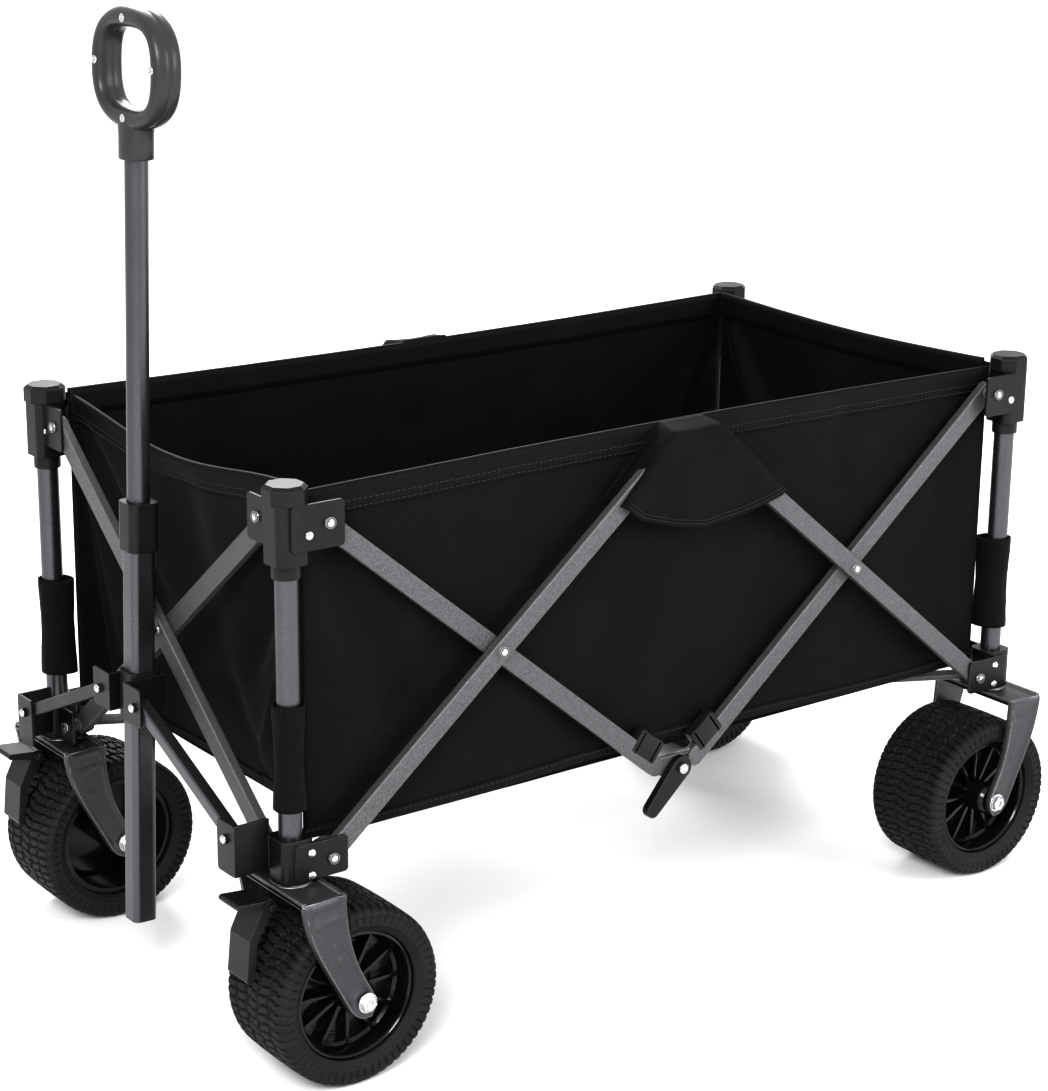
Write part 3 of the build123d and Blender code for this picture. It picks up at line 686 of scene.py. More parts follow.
@dataclass(frozen=True)
class Plan:
    """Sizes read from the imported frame, and those that follow from them."""

    half_length: float
    half_width: float
    low_pivot: float = 0.222
    high_pivot: float = 0.542
    inset: float = 0.034
    low_middle: float = 0.2115
    folded_half_length: float = 0.1402
    folded_half_width: float = 0.0776
    long_layer: float = 0.011
    short_layer: float = 0.001
    bar_half_depth: float = 0.005
    wheel_radius: float = 0.089
    flange_gap: float = 0.0005
    flange: float = 0.0025
    head_gap: float = 0.0003

    @classmethod
    def read(cls) -> "Plan":
        """Reads the posts' places from the frame."""
        low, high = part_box("post_tube_rr")
        return cls((low[0] + high[0]) / 2, (low[1] + high[1]) / 2)

    @property
    def cross(self) -> float:
        """The height of the bars' crossings."""
        return (self.low_pivot + self.high_pivot) / 2

    @property
    def arm(self) -> float:
        """Half of a bar's run, corner to crossing."""
        return self.half_width - self.inset

    def sides(self) -> dict[str, Side]:
        """The four sides by name."""
        hl, hw = self.half_length, self.half_width
        long_keep = self.folded_half_length / hl
        short_keep = self.folded_half_width / hw
        return {
            "left": Side(
                "left",
                Vector((0, -hw, 0)),
                Vector((1, 0, 0)),
                Vector((0, -1, 0)),
                "head_fl",
                -hl,
                long_keep,
            ),
            "right": Side(
                "right", Vector((0, hw, 0)), Vector((-1, 0, 0)), Vector((0, 1, 0)), "head_fr", hl, long_keep
            ),
            "front": Side(
                "front",
                Vector((-hl, 0, 0)),
                Vector((0, -1, 0)),
                Vector((-1, 0, 0)),
                "head_fl",
                hw,
                short_keep,
            ),
            "rear": Side(
                "rear", Vector((hl, 0, 0)), Vector((0, 1, 0)), Vector((1, 0, 0)), "head_rl", -hw, short_keep
            ),
        }

    def corners(self) -> dict[str, tuple[int, int]]:
        """Each corner's signs of X and Y."""
        return {"fl": (-1, -1), "fr": (-1, 1), "rl": (1, -1), "rr": (1, 1)}

    def post(self, corner: str) -> Vector:
        """A post's axis at ground level."""
        sx, sy = self.corners()[corner]
        return Vector((sx * self.half_length, sy * self.half_width, 0))


# ------------------------------------------------------------------ cloth
@dataclass
class Crease:
    """A soft fold along a line of a panel, in u and z.

    Attributes:
        start: one end.
        end: the other end.
        width: how wide it spreads.
        depth: how far it moves the cloth out; negative is in.
    """

    start: tuple[float, float]
    end: tuple[float, float]
    width: float
    depth: float

    def lift(self, u: float, z: float) -> float:
        """How far the cloth moves out at a point."""
        ax, az = self.start
        dx, dz = self.end[0] - ax, self.end[1] - az
        run = dx * dx + dz * dz
        share = ((u - ax) * dx + (z - az) * dz) / run
        near = min(1.0, max(0.0, share))
        away = math.hypot(u - ax - near * dx, z - az - near * dz)
        spread = self.width * (0.45 + 0.55 * near)
        fade = smooth_step(-0.12, 0.12, share) * (1 - smooth_step(0.72, 1.1, share))
        return self.depth * math.exp(-((away / spread) ** 2)) * fade


@dataclass
class Panel:
    """One cloth wall of the tub.

    Attributes:
        side: the side that it closes.
        reach: how far it runs each way from the middle.
        foot: height of its bottom edge, by u.
        rim: height of its top edge, by u.
        lean: how far out it stands, by u and the share of its height.
        creases: its folds.
        slack: size of the small unevenness.
        seed: shifts the unevenness.
    """

    side: Side
    reach: float
    foot: Callable[[float], float]
    rim: Callable[[float], float]
    lean: Callable[[float, float], float]
    creases: list[Crease] = field(default_factory=list)
    slack: float = 0.0018
    seed: float = 0.0

    def out(self, u: float, z: float, share: float) -> float:
        """How far out the cloth stands."""
        edge = math.sin(math.pi * min(1.0, max(0.0, share))) ** 0.6
        ends = 1 - (abs(u) / self.reach) ** 8
        ripple = noise.noise(Vector((u * 7.0, z * 9.0, self.seed))) + 0.4 * noise.noise(
            Vector((u * 21, z * 17, self.seed + 5))
        )
        folds = sum(c.lift(u, z) for c in self.creases)
        return self.lean(u, share) + (ripple * self.slack + folds) * min(1.0, edge + 0.12) * max(ends, 0.15)

    def at(self, u: float, share: float, lift: float = 0.0) -> Vector:
        """A point of the cloth, lifted off its middle by a little."""
        z = blend_between(self.foot(u), self.rim(u), share)
        return self.side.at(u, z, self.out(u, z, share) + lift)

    def mesh(
        self,
        name: str,
        span: tuple[float, float],
        shares: tuple[float, float],
        lift: float,
        cells: tuple[int, int],
    ) -> bpy.types.Mesh:
        """Makes a skin over part of the panel, with flat coordinates in metres.

        Args:
            name: the mesh's name.
            span: from this u to that u.
            shares: from this share of the height to that.
            lift: how far off the cloth's middle it lies.
            cells: how many cells along and up.

        Returns:
            The mesh.
        """
        across, up = cells
        points, faces, flat = [], [], []
        for j in range(up + 1):
            share = blend_between(shares[0], shares[1], j / up)
            for i in range(across + 1):
                u = blend_between(span[0], span[1], i / across)
                points.append(self.at(u, share, lift))
                flat.append((u, blend_between(self.foot(u), self.rim(u), share)))
        for j in range(up):
            for i in range(across):
                a = j * (across + 1) + i
                faces.append((a, a + 1, a + across + 2, a + across + 1))
        mesh = bpy.data.meshes.new(name)
        mesh.from_pydata([tuple(p) for p in points], [], faces)
        add_flat(mesh, flat)
        return mesh


def add_flat(mesh: bpy.types.Mesh, flat: Sequence[tuple[float, float]]) -> None:
    """Gives a cloth mesh its flat coordinates, one for each vertex."""
    layer = mesh.uv_layers.new(name="cloth")
    for loop in mesh.loops:
        layer.data[loop.index].uv = flat[loop.vertex_index]


def thicken(cloth: bpy.types.Object, thickness: float) -> None:
    """Gives a skin its thickness, half to each side."""
    made = cloth.modifiers.new("thickness", "SOLIDIFY")
    made.thickness = thickness
    made.offset = 0.0


@dataclass
class Tub:
    """The fabric tub: four walls, rim bands, flaps, sleeves and a quilted floor.

    Attributes:
        plan: the frame's sizes.
        cloth: the cloth's thickness.
        band: height of the stitched band at the rim.
        foot_height: the walls' bottom edge.
    """

    plan: Plan
    cloth: float = 0.0014
    band: float = 0.026
    foot_height: float = 0.234
    long_reach: float = 0.4352
    short_reach: float = 0.2125
    stitch_pitch: float = 0.006
    sleeve_low: float = 0.273
    sleeve_high: float = 0.374
    sleeve_radius: float = 0.0137
    sleeve_pull: float = 0.0075
    sleeve_cut_radius: float = 0.0145
    sleeve_cut_ease: float = 1.1
    sleeve_cells: tuple[int, int] = (48, 26)
    wall_height: float = 0.333
    rim_height: float = 0.335
    made: dict[str, Panel] = field(default_factory=dict)

    def panels(self) -> dict[str, Panel]:
        """The four walls, each with its own sag and folds."""
        sides = self.plan.sides()
        near_rim = lambda u: 0.5645 + 0.0045 * math.cos(math.pi * u / 0.87)
        far_rim = lambda u: 0.572 - 0.004 * math.cos(math.pi * u / 0.87)
        rear_rim = lambda u: 0.573 - 0.006 * math.cos(math.pi * u / 0.42)
        front_rim = lambda u: 0.568 - 0.021 * math.cos(math.pi * (u + 0.02) / 0.47) ** 2
        foot = lambda u: self.foot_height + 0.003 * math.cos(math.pi * u / 0.3)
        upright = lambda u, share: -0.011
        sloping = lambda u, share: blend_between(-0.060, -0.023, share)
        rear_lean = lambda u, share: -0.023
        long_folds = [
            Crease((-0.425, 0.535), (-0.300, 0.290), 0.030, -0.011),
            Crease((-0.428, 0.500), (-0.380, 0.260), 0.020, 0.0035),
            Crease((-0.405, 0.250), (-0.250, 0.420), 0.026, -0.007),
            Crease((-0.420, 0.430), (-0.330, 0.245), 0.012, 0.003),
            Crease((0.425, 0.535), (0.330, 0.330), 0.030, -0.009),
            Crease((0.415, 0.250), (0.300, 0.400), 0.024, -0.006),
            Crease((0.0, 0.50), (0.03, 0.28), 0.080, 0.0035),
            Crease((-0.120, 0.240), (-0.060, 0.420), 0.050, -0.006),
            Crease((0.160, 0.240), (0.120, 0.400), 0.050, -0.006),
            Crease((-0.200, 0.560), (-0.180, 0.440), 0.030, -0.005),
            Crease((0.230, 0.560), (0.215, 0.440), 0.030, -0.005),
        ]
        short_folds = [
            Crease((0.200, 0.545), (0.060, 0.330), 0.022, -0.016),
            Crease((-0.200, 0.545), (-0.070, 0.350), 0.022, -0.014),
            Crease((0.205, 0.480), (0.150, 0.250), 0.014, 0.010),
            Crease((0.190, 0.420), (0.120, 0.240), 0.011, -0.012),
            Crease((0.160, 0.400), (0.080, 0.240), 0.012, 0.009),
            Crease((-0.205, 0.480), (-0.150, 0.250), 0.014, 0.008),
            Crease((-0.170, 0.420), (-0.110, 0.240), 0.012, -0.012),
            Crease((0.0, 0.540), (0.0, 0.300), 0.060, -0.010),
            Crease((0.100, 0.240), (0.020, 0.340), 0.020, -0.008),
        ]
        return {
            "left": Panel(sides["left"], self.long_reach, foot, near_rim, upright, long_folds, seed=1.0),
            "right": Panel(sides["right"], self.long_reach, foot, far_rim, upright, long_folds, seed=2.0),
            "front": Panel(
                sides["front"], self.short_reach, foot, front_rim, sloping, short_folds, 0.003, seed=3.0
            ),
            "rear": Panel(
                sides["rear"], self.short_reach, foot, rear_rim, rear_lean, short_folds, 0.0025, seed=4.0
            ),
        }

    def fold_with(self, cloth: bpy.types.Object, side: Side) -> None:
        """Gives a piece of cloth a mesh of its own; it reads the side's direction and anchor but folds
        nothing.
        """
        tuple(side.along)
        tuple(side.spot(side.anchor))
        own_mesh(cloth)

    def wall(self, panel: Panel) -> None:
        """Makes one wall with its rim band, foot seam and stitching."""
        side = panel.side
        long = side.name in ("left", "right")
        cells = (150, 60) if long else (90, 60)
        span = (-panel.reach, panel.reach)
        cloth = piece(
            f"cloth_wall_{side.name}",
            panel.mesh("wall", span, (0, 1), 0.0, cells),
            Coat.POLYESTER,
            side.head,
            "black_fabric",
        )
        thicken(cloth, self.cloth)
        band_share = self.band / self.rim_height
        trims = []
        rows = ((1 - band_share, 1.004, 0.0016, "rim_band"), (0.0, 0.030, 0.0014, "foot_seam"))
        for low, high, lift, label in rows:
            strip = panel.mesh(label, span, (low, high), 0.0, (cells[0], 4))
            trim = piece(f"{label}_{side.name}", strip, Coat.WEBBING, side.head, "black_fabric")
            thicken(trim, self.cloth + 2 * lift)
            trims.append(trim)
        stitches = Shape()
        for share in (1 - band_share * 0.88, 1 - band_share * 0.62, 0.022):
            self.stitch_row(stitches, panel, span, share)
        thread = piece(
            f"rim_stitching_{side.name}", self.thread_mesh(stitches), Coat.THREAD, side.head, "black_fabric"
        )
        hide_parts(f"tub_wall_{side.name}")
        for part in (cloth, *trims, thread):
            self.fold_with(part, side)

    def thread_mesh(self, stitches: Shape) -> bpy.types.Mesh:
        """The mesh of stitches, with flat coordinates for the thread's twist."""
        mesh = stitches.mesh("stitches")
        add_flat(mesh, [(v.co.x + v.co.y, v.co.z) for v in mesh.vertices])
        return mesh

    def stitch_row(self, shape: Shape, panel: Panel, span: tuple[float, float], share: float) -> None:
        """Adds one row of stitches to the outside of a panel."""
        count = int((span[1] - span[0]) / self.stitch_pitch)
        lift = self.cloth / 2 + 0.0018
        for i in range(count):
            u = span[0] + (i + 0.5) * self.stitch_pitch
            a = panel.at(u - self.stitch_pitch * 0.34, share, lift)
            b = panel.at(u + self.stitch_pitch * 0.34, share, lift)
            run = b - a
            shape.block(
                (a + b) / 2,
                run / 2,
                panel.side.out * 0.00035,
                run.normalized().cross(panel.side.out) * 0.0005,
            )

    def flap(self, panel: Panel) -> None:
        """Makes the triangular flap over a long side's top joint, sewn down at its sloping edges."""
        side = panel.side
        turn = -1 if side.name == "right" else 1
        rim = panel.rim(0.0)
        top, hem = 0.5708, (
            (-0.092, 0.503),
            (-0.068, 0.485),
            (-0.030, 0.473),
            (0.014, 0.465),
            (0.062, 0.470),
            (0.113, 0.482),
            (0.124, 0.485),
        )
        across, down, tuck = 90, 60, 0.05
        points, flat = [], []
        for j in range(down + 1):
            t = j / down
            fall = max(0.0, (t - tuck) / (1 - tuck))
            for i in range(across + 1):
                s = i / across
                head = Vector((blend_between(-0.024, 0.030, s), top))
                reach = s * (len(hem) - 1)
                step = min(int(reach), len(hem) - 2)
                foot = Vector(hem[step]).lerp(
                    Vector(hem[step + 1]), smooth_step(0.0, 1.0, reach - step) * 0.4 + (reach - step) * 0.6
                )
                spot = head.lerp(foot, fall)
                up = (rim - 0.006 - top) * (1 - smooth_step(0.0, tuck, t))
                tent = smooth_step(0.0, 0.03, min(s, 1 - s))
                stand = smooth_step(tuck, 0.12, t) * tent
                soft = 0.0011 * (
                    1 + noise.noise(Vector((spot.x * 26, spot.y * 26, 7.0)))
                ) + 0.0016 * smooth_step(0.35, 1.0, t) * math.sin(s * 17 + 0.7)
                w = -0.0098 + 0.0305 * stand + abs(soft) * stand
                points.append(side.at(turn * spot.x, spot.y + up, w))
                flat.append((turn * spot.x, spot.y + up))
        faces = []
        for j in range(down):
            for i in range(across):
                a = j * (across + 1) + i
                faces.append((a, a + 1, a + across + 2, a + across + 1))
        mesh = bpy.data.meshes.new("flap")
        mesh.from_pydata([tuple(p) for p in points], [], faces)
        add_flat(mesh, flat)
        flap = piece(f"joint_flap_{side.name}", mesh, Coat.POLYESTER, side.head, "black_fabric")
        thicken(flap, self.cloth)
        stitches = Shape()
        for back in (2, 4):
            row = [points[(down - back) * (across + 1) + i] for i in range(across + 1)]
            for a, b in zip(row, row[1:]):
                mid = (a + b) / 2 + side.out * (self.cloth / 2 + 0.0003)
                run = b - a
                shape_width = run.normalized().cross(side.out)
                stitches.block(mid, run * 0.33, side.out * 0.00035, shape_width * 0.0005)
        thread = piece(
            f"flap_stitching_{side.name}",
            self.thread_mesh(stitches),
            Coat.THREAD,
            side.head,
            "black_fabric",
        )
        for part in (flap, thread):
            self.fold_with(part, side)

    def sleeve(self, corner: str) -> None:
        """Makes the cloth sleeve that holds the tub's corner to its post."""
        post = self.plan.post(corner)
        sx, sy = self.plan.corners()[corner]
        inward = Vector((-sx, -sy, 0)).normalized()
        across = Vector((0, 0, 1)).cross(inward)
        rows, flat_rows = [], []
        around, levels = self.sleeve_cells
        for j in range(levels + 1):
            t = j / levels
            z = blend_between(self.sleeve_low, self.sleeve_high, t)
            row = []
            for i in range(around + 1):
                turn = blend_between(-math.pi, math.pi, i / around)
                pull = max(0.0, math.cos(turn)) ** 3
                wrinkle = 0.0006 * noise.noise(
                    Vector((math.cos(turn) * 3, math.sin(turn) * 3, z * 60 + sx + 2 * sy))
                )
                radius = self.sleeve_radius + self.sleeve_pull * pull + wrinkle
                radius += 0.0008 * math.cos(math.pi * t * 2)
                ahead = inward * math.cos(turn) * radius
                aside = across * math.sin(turn) * radius * (1 - 0.25 * pull)
                row.append(post + ahead + aside + Vector((0, 0, z)))
            rows.append(row)
        shape = Shape()
        shape.grid(rows)
        mesh = bpy.data.meshes.new("sleeve")
        mesh.from_pydata([tuple(p) for p in shape.points], [], [tuple(f) for f in shape.faces])
        girth = math.tau * self.sleeve_cut_radius
        for j in range(levels + 1):
            for i in range(around + 1):
                flat_rows.append((girth * i / around, (self.sleeve_high - self.sleeve_low) * j / levels))
        add_flat(mesh, flat_rows)
        head = f"head_{corner}"
        sleeve = piece(f"post_sleeve_{corner}", mesh, Coat.POLYESTER, head, "black_fabric")
        thicken(sleeve, self.cloth)

    def floor_quarter(self, corner: str) -> None:
        """Makes one quilted quarter of the floor pad, which folds up with its arm."""
        sx, sy = self.plan.corners()[corner]
        low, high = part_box("tub_floor")
        outer = (high[0] if sx > 0 else low[0], high[1] if sy > 0 else low[1])
        middle = ((low[0] + high[0]) / 2, 0.0)
        gap = 0.0012
        across, deep = 44, 26
        tops, bottoms = [], []
        for j in range(deep + 1):
            t = j / deep
            top_row, low_row = [], []
            for i in range(across + 1):
                s = i / across
                x = blend_between(middle[0] + sx * gap, outer[0], s)
                y = blend_between(middle[1] + sy * gap, outer[1], t)
                quilt = abs(math.sin(math.pi * 2 * s)) ** 0.35 * abs(math.sin(math.pi * 2 * t)) ** 0.35
                sag = 0.007 * (1 - s) * (1 - t)
                soft = 0.0008 * noise.noise(Vector((x * 14, y * 14, 3.0)))
                top_row.append(Vector((x, y, high[2] - 0.0045 + 0.0045 * quilt - sag + soft)))
                low_row.append(Vector((x, y, low[2] - sag - 0.0012 * quilt + soft)))
            tops.append(top_row)
            bottoms.append(low_row)
        shape = Shape()
        shape.grid(tops)
        shape.grid([row[::-1] for row in bottoms])
        wide = across + 1
        count = wide * (deep + 1)
        rim = [i for i in range(wide)] + [j * wide + across for j in range(1, deep + 1)]
        rim += [
            deep * wide + i for i in range(across - 1, -1, -1)
        ] + [j * wide for j in range(deep - 1, 0, -1)]
        under = lambda k: count + (k // wide) * wide + (across - k % wide)
        for a, b in zip(rim, rim[1:] + rim[:1]):
            shape.faces.append([a, b, under(b), under(a)])
        mesh = shape.mesh("floor")
        add_flat(mesh, [(v.co.x, v.co.y) for v in mesh.vertices])
        pad = piece(f"floor_pad_{corner}", mesh, Coat.POLYESTER, f"floor_arm_{corner}", "black_fabric")
        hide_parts("tub_floor")
        tuple(self.plan.post(corner))
        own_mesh(pad)

    def build(self) -> None:
        """Makes the whole tub."""
        for panel in self.panels().values():
            self.wall(panel)
            if panel.side.name in ("left", "right"):
                self.flap(panel)
        for corner in self.plan.corners():
            self.sleeve(corner)
            self.floor_quarter(corner)


# ------------------------------------------------------------------ wheels
@dataclass
class Wheels:
    """Four wide wheels: block-tread tyres on ribbed gloss hubs.

    Attributes:
        plan: the frame's sizes.
        facets: steps round a tyre.
        pitches: tread blocks round a tyre.
    """

    plan: Plan
    width: float = 0.098
    bead: float = 0.0640
    facets: int = 360
    pitches: int = 60
    groove: float = 0.0026
    rim_half: float = 0.038
    web: float = 0.020
    boss: float = 0.017
    spokes: int = 12

    def centre(self, corner: str) -> Vector:
        """A wheel's middle."""
        low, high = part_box(f"tyre_{corner}")
        return Vector(((low[0] + high[0]) / 2, (low[1] + high[1]) / 2, self.plan.wheel_radius))

    def section(self) -> list[tuple[float, float, float]]:
        """The tyre's section as (across, radius, tread share), bead to bead."""
        half, top = self.width / 2, self.plan.wheel_radius
        wall = []
        for i in range(13):
            t = i / 12
            across = blend_between(0.042, half - 0.001, math.sin(math.pi / 2 * min(1, t * 1.5)))
            wall.append((across, blend_between(self.bead, top - 0.0085, t), 0.0))
        curve = []
        for i in range(1, 6):
            turn = math.pi / 2 * i / 6
            curve.append(
                (half - 0.008 + 0.008 * math.cos(turn), top - 0.0085 + 0.0072 * math.sin(turn), 0.6)
            )
        crown = []
        steps = 40
        for i in range(steps + 1):
            across = blend_between(half - 0.008, -(half - 0.008), i / steps)
            crown.append((across, top - 0.0012 * (across / half) ** 2, 1.0))
        other = [(-a, r, t) for a, r, t in (wall + curve)[::-1]]
        return wall + curve + crown + other

    def tread(self, across: float, turn: float) -> float:
        """How deep the tread is cut at a place, from 0 to 1."""
        half = self.width / 2
        share = across / half
        zig = 0.0022 * math.sin(turn * self.pitches / 2)
        for line in (-0.56, -0.19, 0.19, 0.56):
            if abs(across - line * half - zig) < 0.0014:
                return 1.0
        rib = int((share + 0.56) / 0.37) if abs(share) < 0.56 else (7 if share > 0 else 8)
        slant = across * 130.0 * (1 if rib % 2 else -1)
        phase = (turn * self.pitches / math.tau + slant * 0.16 + rib * 0.37) % 1.0
        width = 0.17 if abs(share) < 0.56 else 0.26
        return 1.0 if phase < width else 0.0

    def tyre_mesh(self) -> bpy.types.Mesh:
        """Makes the tyre, turned about +Y at the origin."""
        rows = []
        section = self.section()
        half = self.width / 2
        for k in range(self.facets):
            turn = math.tau * k / self.facets
            row = []
            for across, radius, share in section:
                if share > 0:
                    radius -= self.groove * share * self.tread(across, turn)
                elif abs(across) > half - 0.0035 and radius > self.plan.wheel_radius - 0.016:
                    across = math.copysign(
                        abs(across) - 0.0014 * self.tread(math.copysign(half, across), turn), across
                    )
                ring = 0.0006 if 0.070 < radius < 0.0725 else 0.0
                across = math.copysign(abs(across) + ring, across)
                row.append(Vector((radius * math.cos(turn), across, radius * math.sin(turn))))
            rows.append(row)
        shape = Shape()
        shape.grid(rows, closed=True)
        wide = len(section)
        for k in range(self.facets):
            n = (k + 1) % self.facets
            shape.faces.append([k * wide, n * wide, n * wide + wide - 1, k * wide + wide - 1])
        return shape.mesh("tyre")

    def hub_mesh(self) -> bpy.types.Mesh:
        """Makes the hub, turned about +Y at the origin with its dish towards +Y."""
        shape = Shape()
        lip, barrel = self.bead - 0.0002, self.bead - 0.0058
        rh, web = self.rim_half, self.web
        ring = [
            (lip, -rh), (lip, rh), (lip - 0.0008, rh + 0.0022),
            (lip - 0.0032, rh + 0.0030), (barrel + 0.0012, rh + 0.0016),
            (barrel, rh - 0.001), (barrel - 0.0012, web + 0.003), (barrel - 0.004, web),
            (barrel - 0.004, web - 0.006), (barrel, web - 0.010), (barrel, -rh),
        ]
        rows = []
        sides = 96
        for k in range(sides):
            turn = math.tau * k / sides
            rows.append([Vector((r * math.cos(turn), a, r * math.sin(turn))) for r, a in ring + ring[:1]])
        shape.grid(rows, closed=True)
        axis = Vector((0, 1, 0))
        reach = 0.0505
        disc = [
            (0.0054, web - 0.010),
            (barrel - 0.003, web - 0.010),
            (barrel - 0.003, web - 0.005),
            (self.boss + 0.002, web - 0.005),
        ]
        self.turned(shape, disc + [(0.0054, web - 0.005)])
        boss = [
            (0.0054, -reach), (self.boss * 0.8, -reach),
            (self.boss, -reach + 0.004), (self.boss, reach - 0.006),
            (self.boss - 0.0015, reach - 0.003), (self.boss - 0.004, reach), (0.0054, reach),
        ]
        self.turned(shape, boss)
        for k in range(self.spokes):
            turn = math.tau * k / self.spokes
            out = Vector((math.cos(turn), 0, math.sin(turn)))
            aside = Vector((-math.sin(turn), 0, math.cos(turn)))
            inner, outer = self.boss - 0.002, barrel - 0.002
            shape.block(
                out * (inner + outer) / 2 + axis * (web - 0.0005),
                out * (outer - inner) / 2,
                aside * 0.0021,
                axis * 0.0052,
                0.0009,
            )
        for radius, height in ((0.031, 0.0022), (0.046, 0.0016)):
            band = [
                (radius - 0.001, web - 0.006),
                (radius + 0.001, web - 0.006),
                (radius + 0.0006, web - 0.005 + height),
                (radius - 0.0006, web - 0.005 + height),
            ]
            self.turned(shape, band)
        return shape.mesh("hub")

    def turned(self, shape: Shape, outline: list[tuple[float, float]], sides: int = 96) -> None:
        """Adds a ring whose section is a closed outline of (radius, across)."""
        rows = []
        for k in range(sides):
            turn = math.tau * k / sides
            rows.append(
                [Vector((r * math.cos(turn), a, r * math.sin(turn))) for r, a in outline + outline[:1]]
            )
        shape.grid(rows, closed=True)

    def build(self) -> None:
        """Makes the four wheels."""
        tyre, hub = self.tyre_mesh(), self.hub_mesh()
        for corner, (_, sy) in self.plan.corners().items():
            centre = self.centre(corner)
            face = 0.0 if sy > 0 else math.pi
            for label, mesh, coat, slot in (
                ("tyre", tyre, Coat.TYRE, "tyre_rubber"), ("hub", hub, Coat.HUB, "gloss_hub")
            ):
                placed = mesh.copy()
                placed.transform(Matrix.Translation(centre) @ Matrix.Rotation(face, 4, "Z"))
                made = piece(
                    f"{label}_dressed_{corner}",
                    placed,
                    coat,
                    f"wheel_{corner}",
                    slot,
                    smooth=label == "hub",
                )
                if label == "hub":
                    sharpen(made, 35)
                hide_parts(f"{label}_{corner}")


def sharpen(made: bpy.types.Object, degrees: float) -> None:
    """Keeps the edges sharper than an angle as edges."""
    bm = bmesh.new()
    bm.from_mesh(made.data)
    limit = math.radians(degrees)
    for edge in bm.edges:
        edge.smooth = len(edge.link_faces) == 2 and edge.calc_face_angle(0.0) < limit
    bm.to_mesh(made.data)
    bm.free()


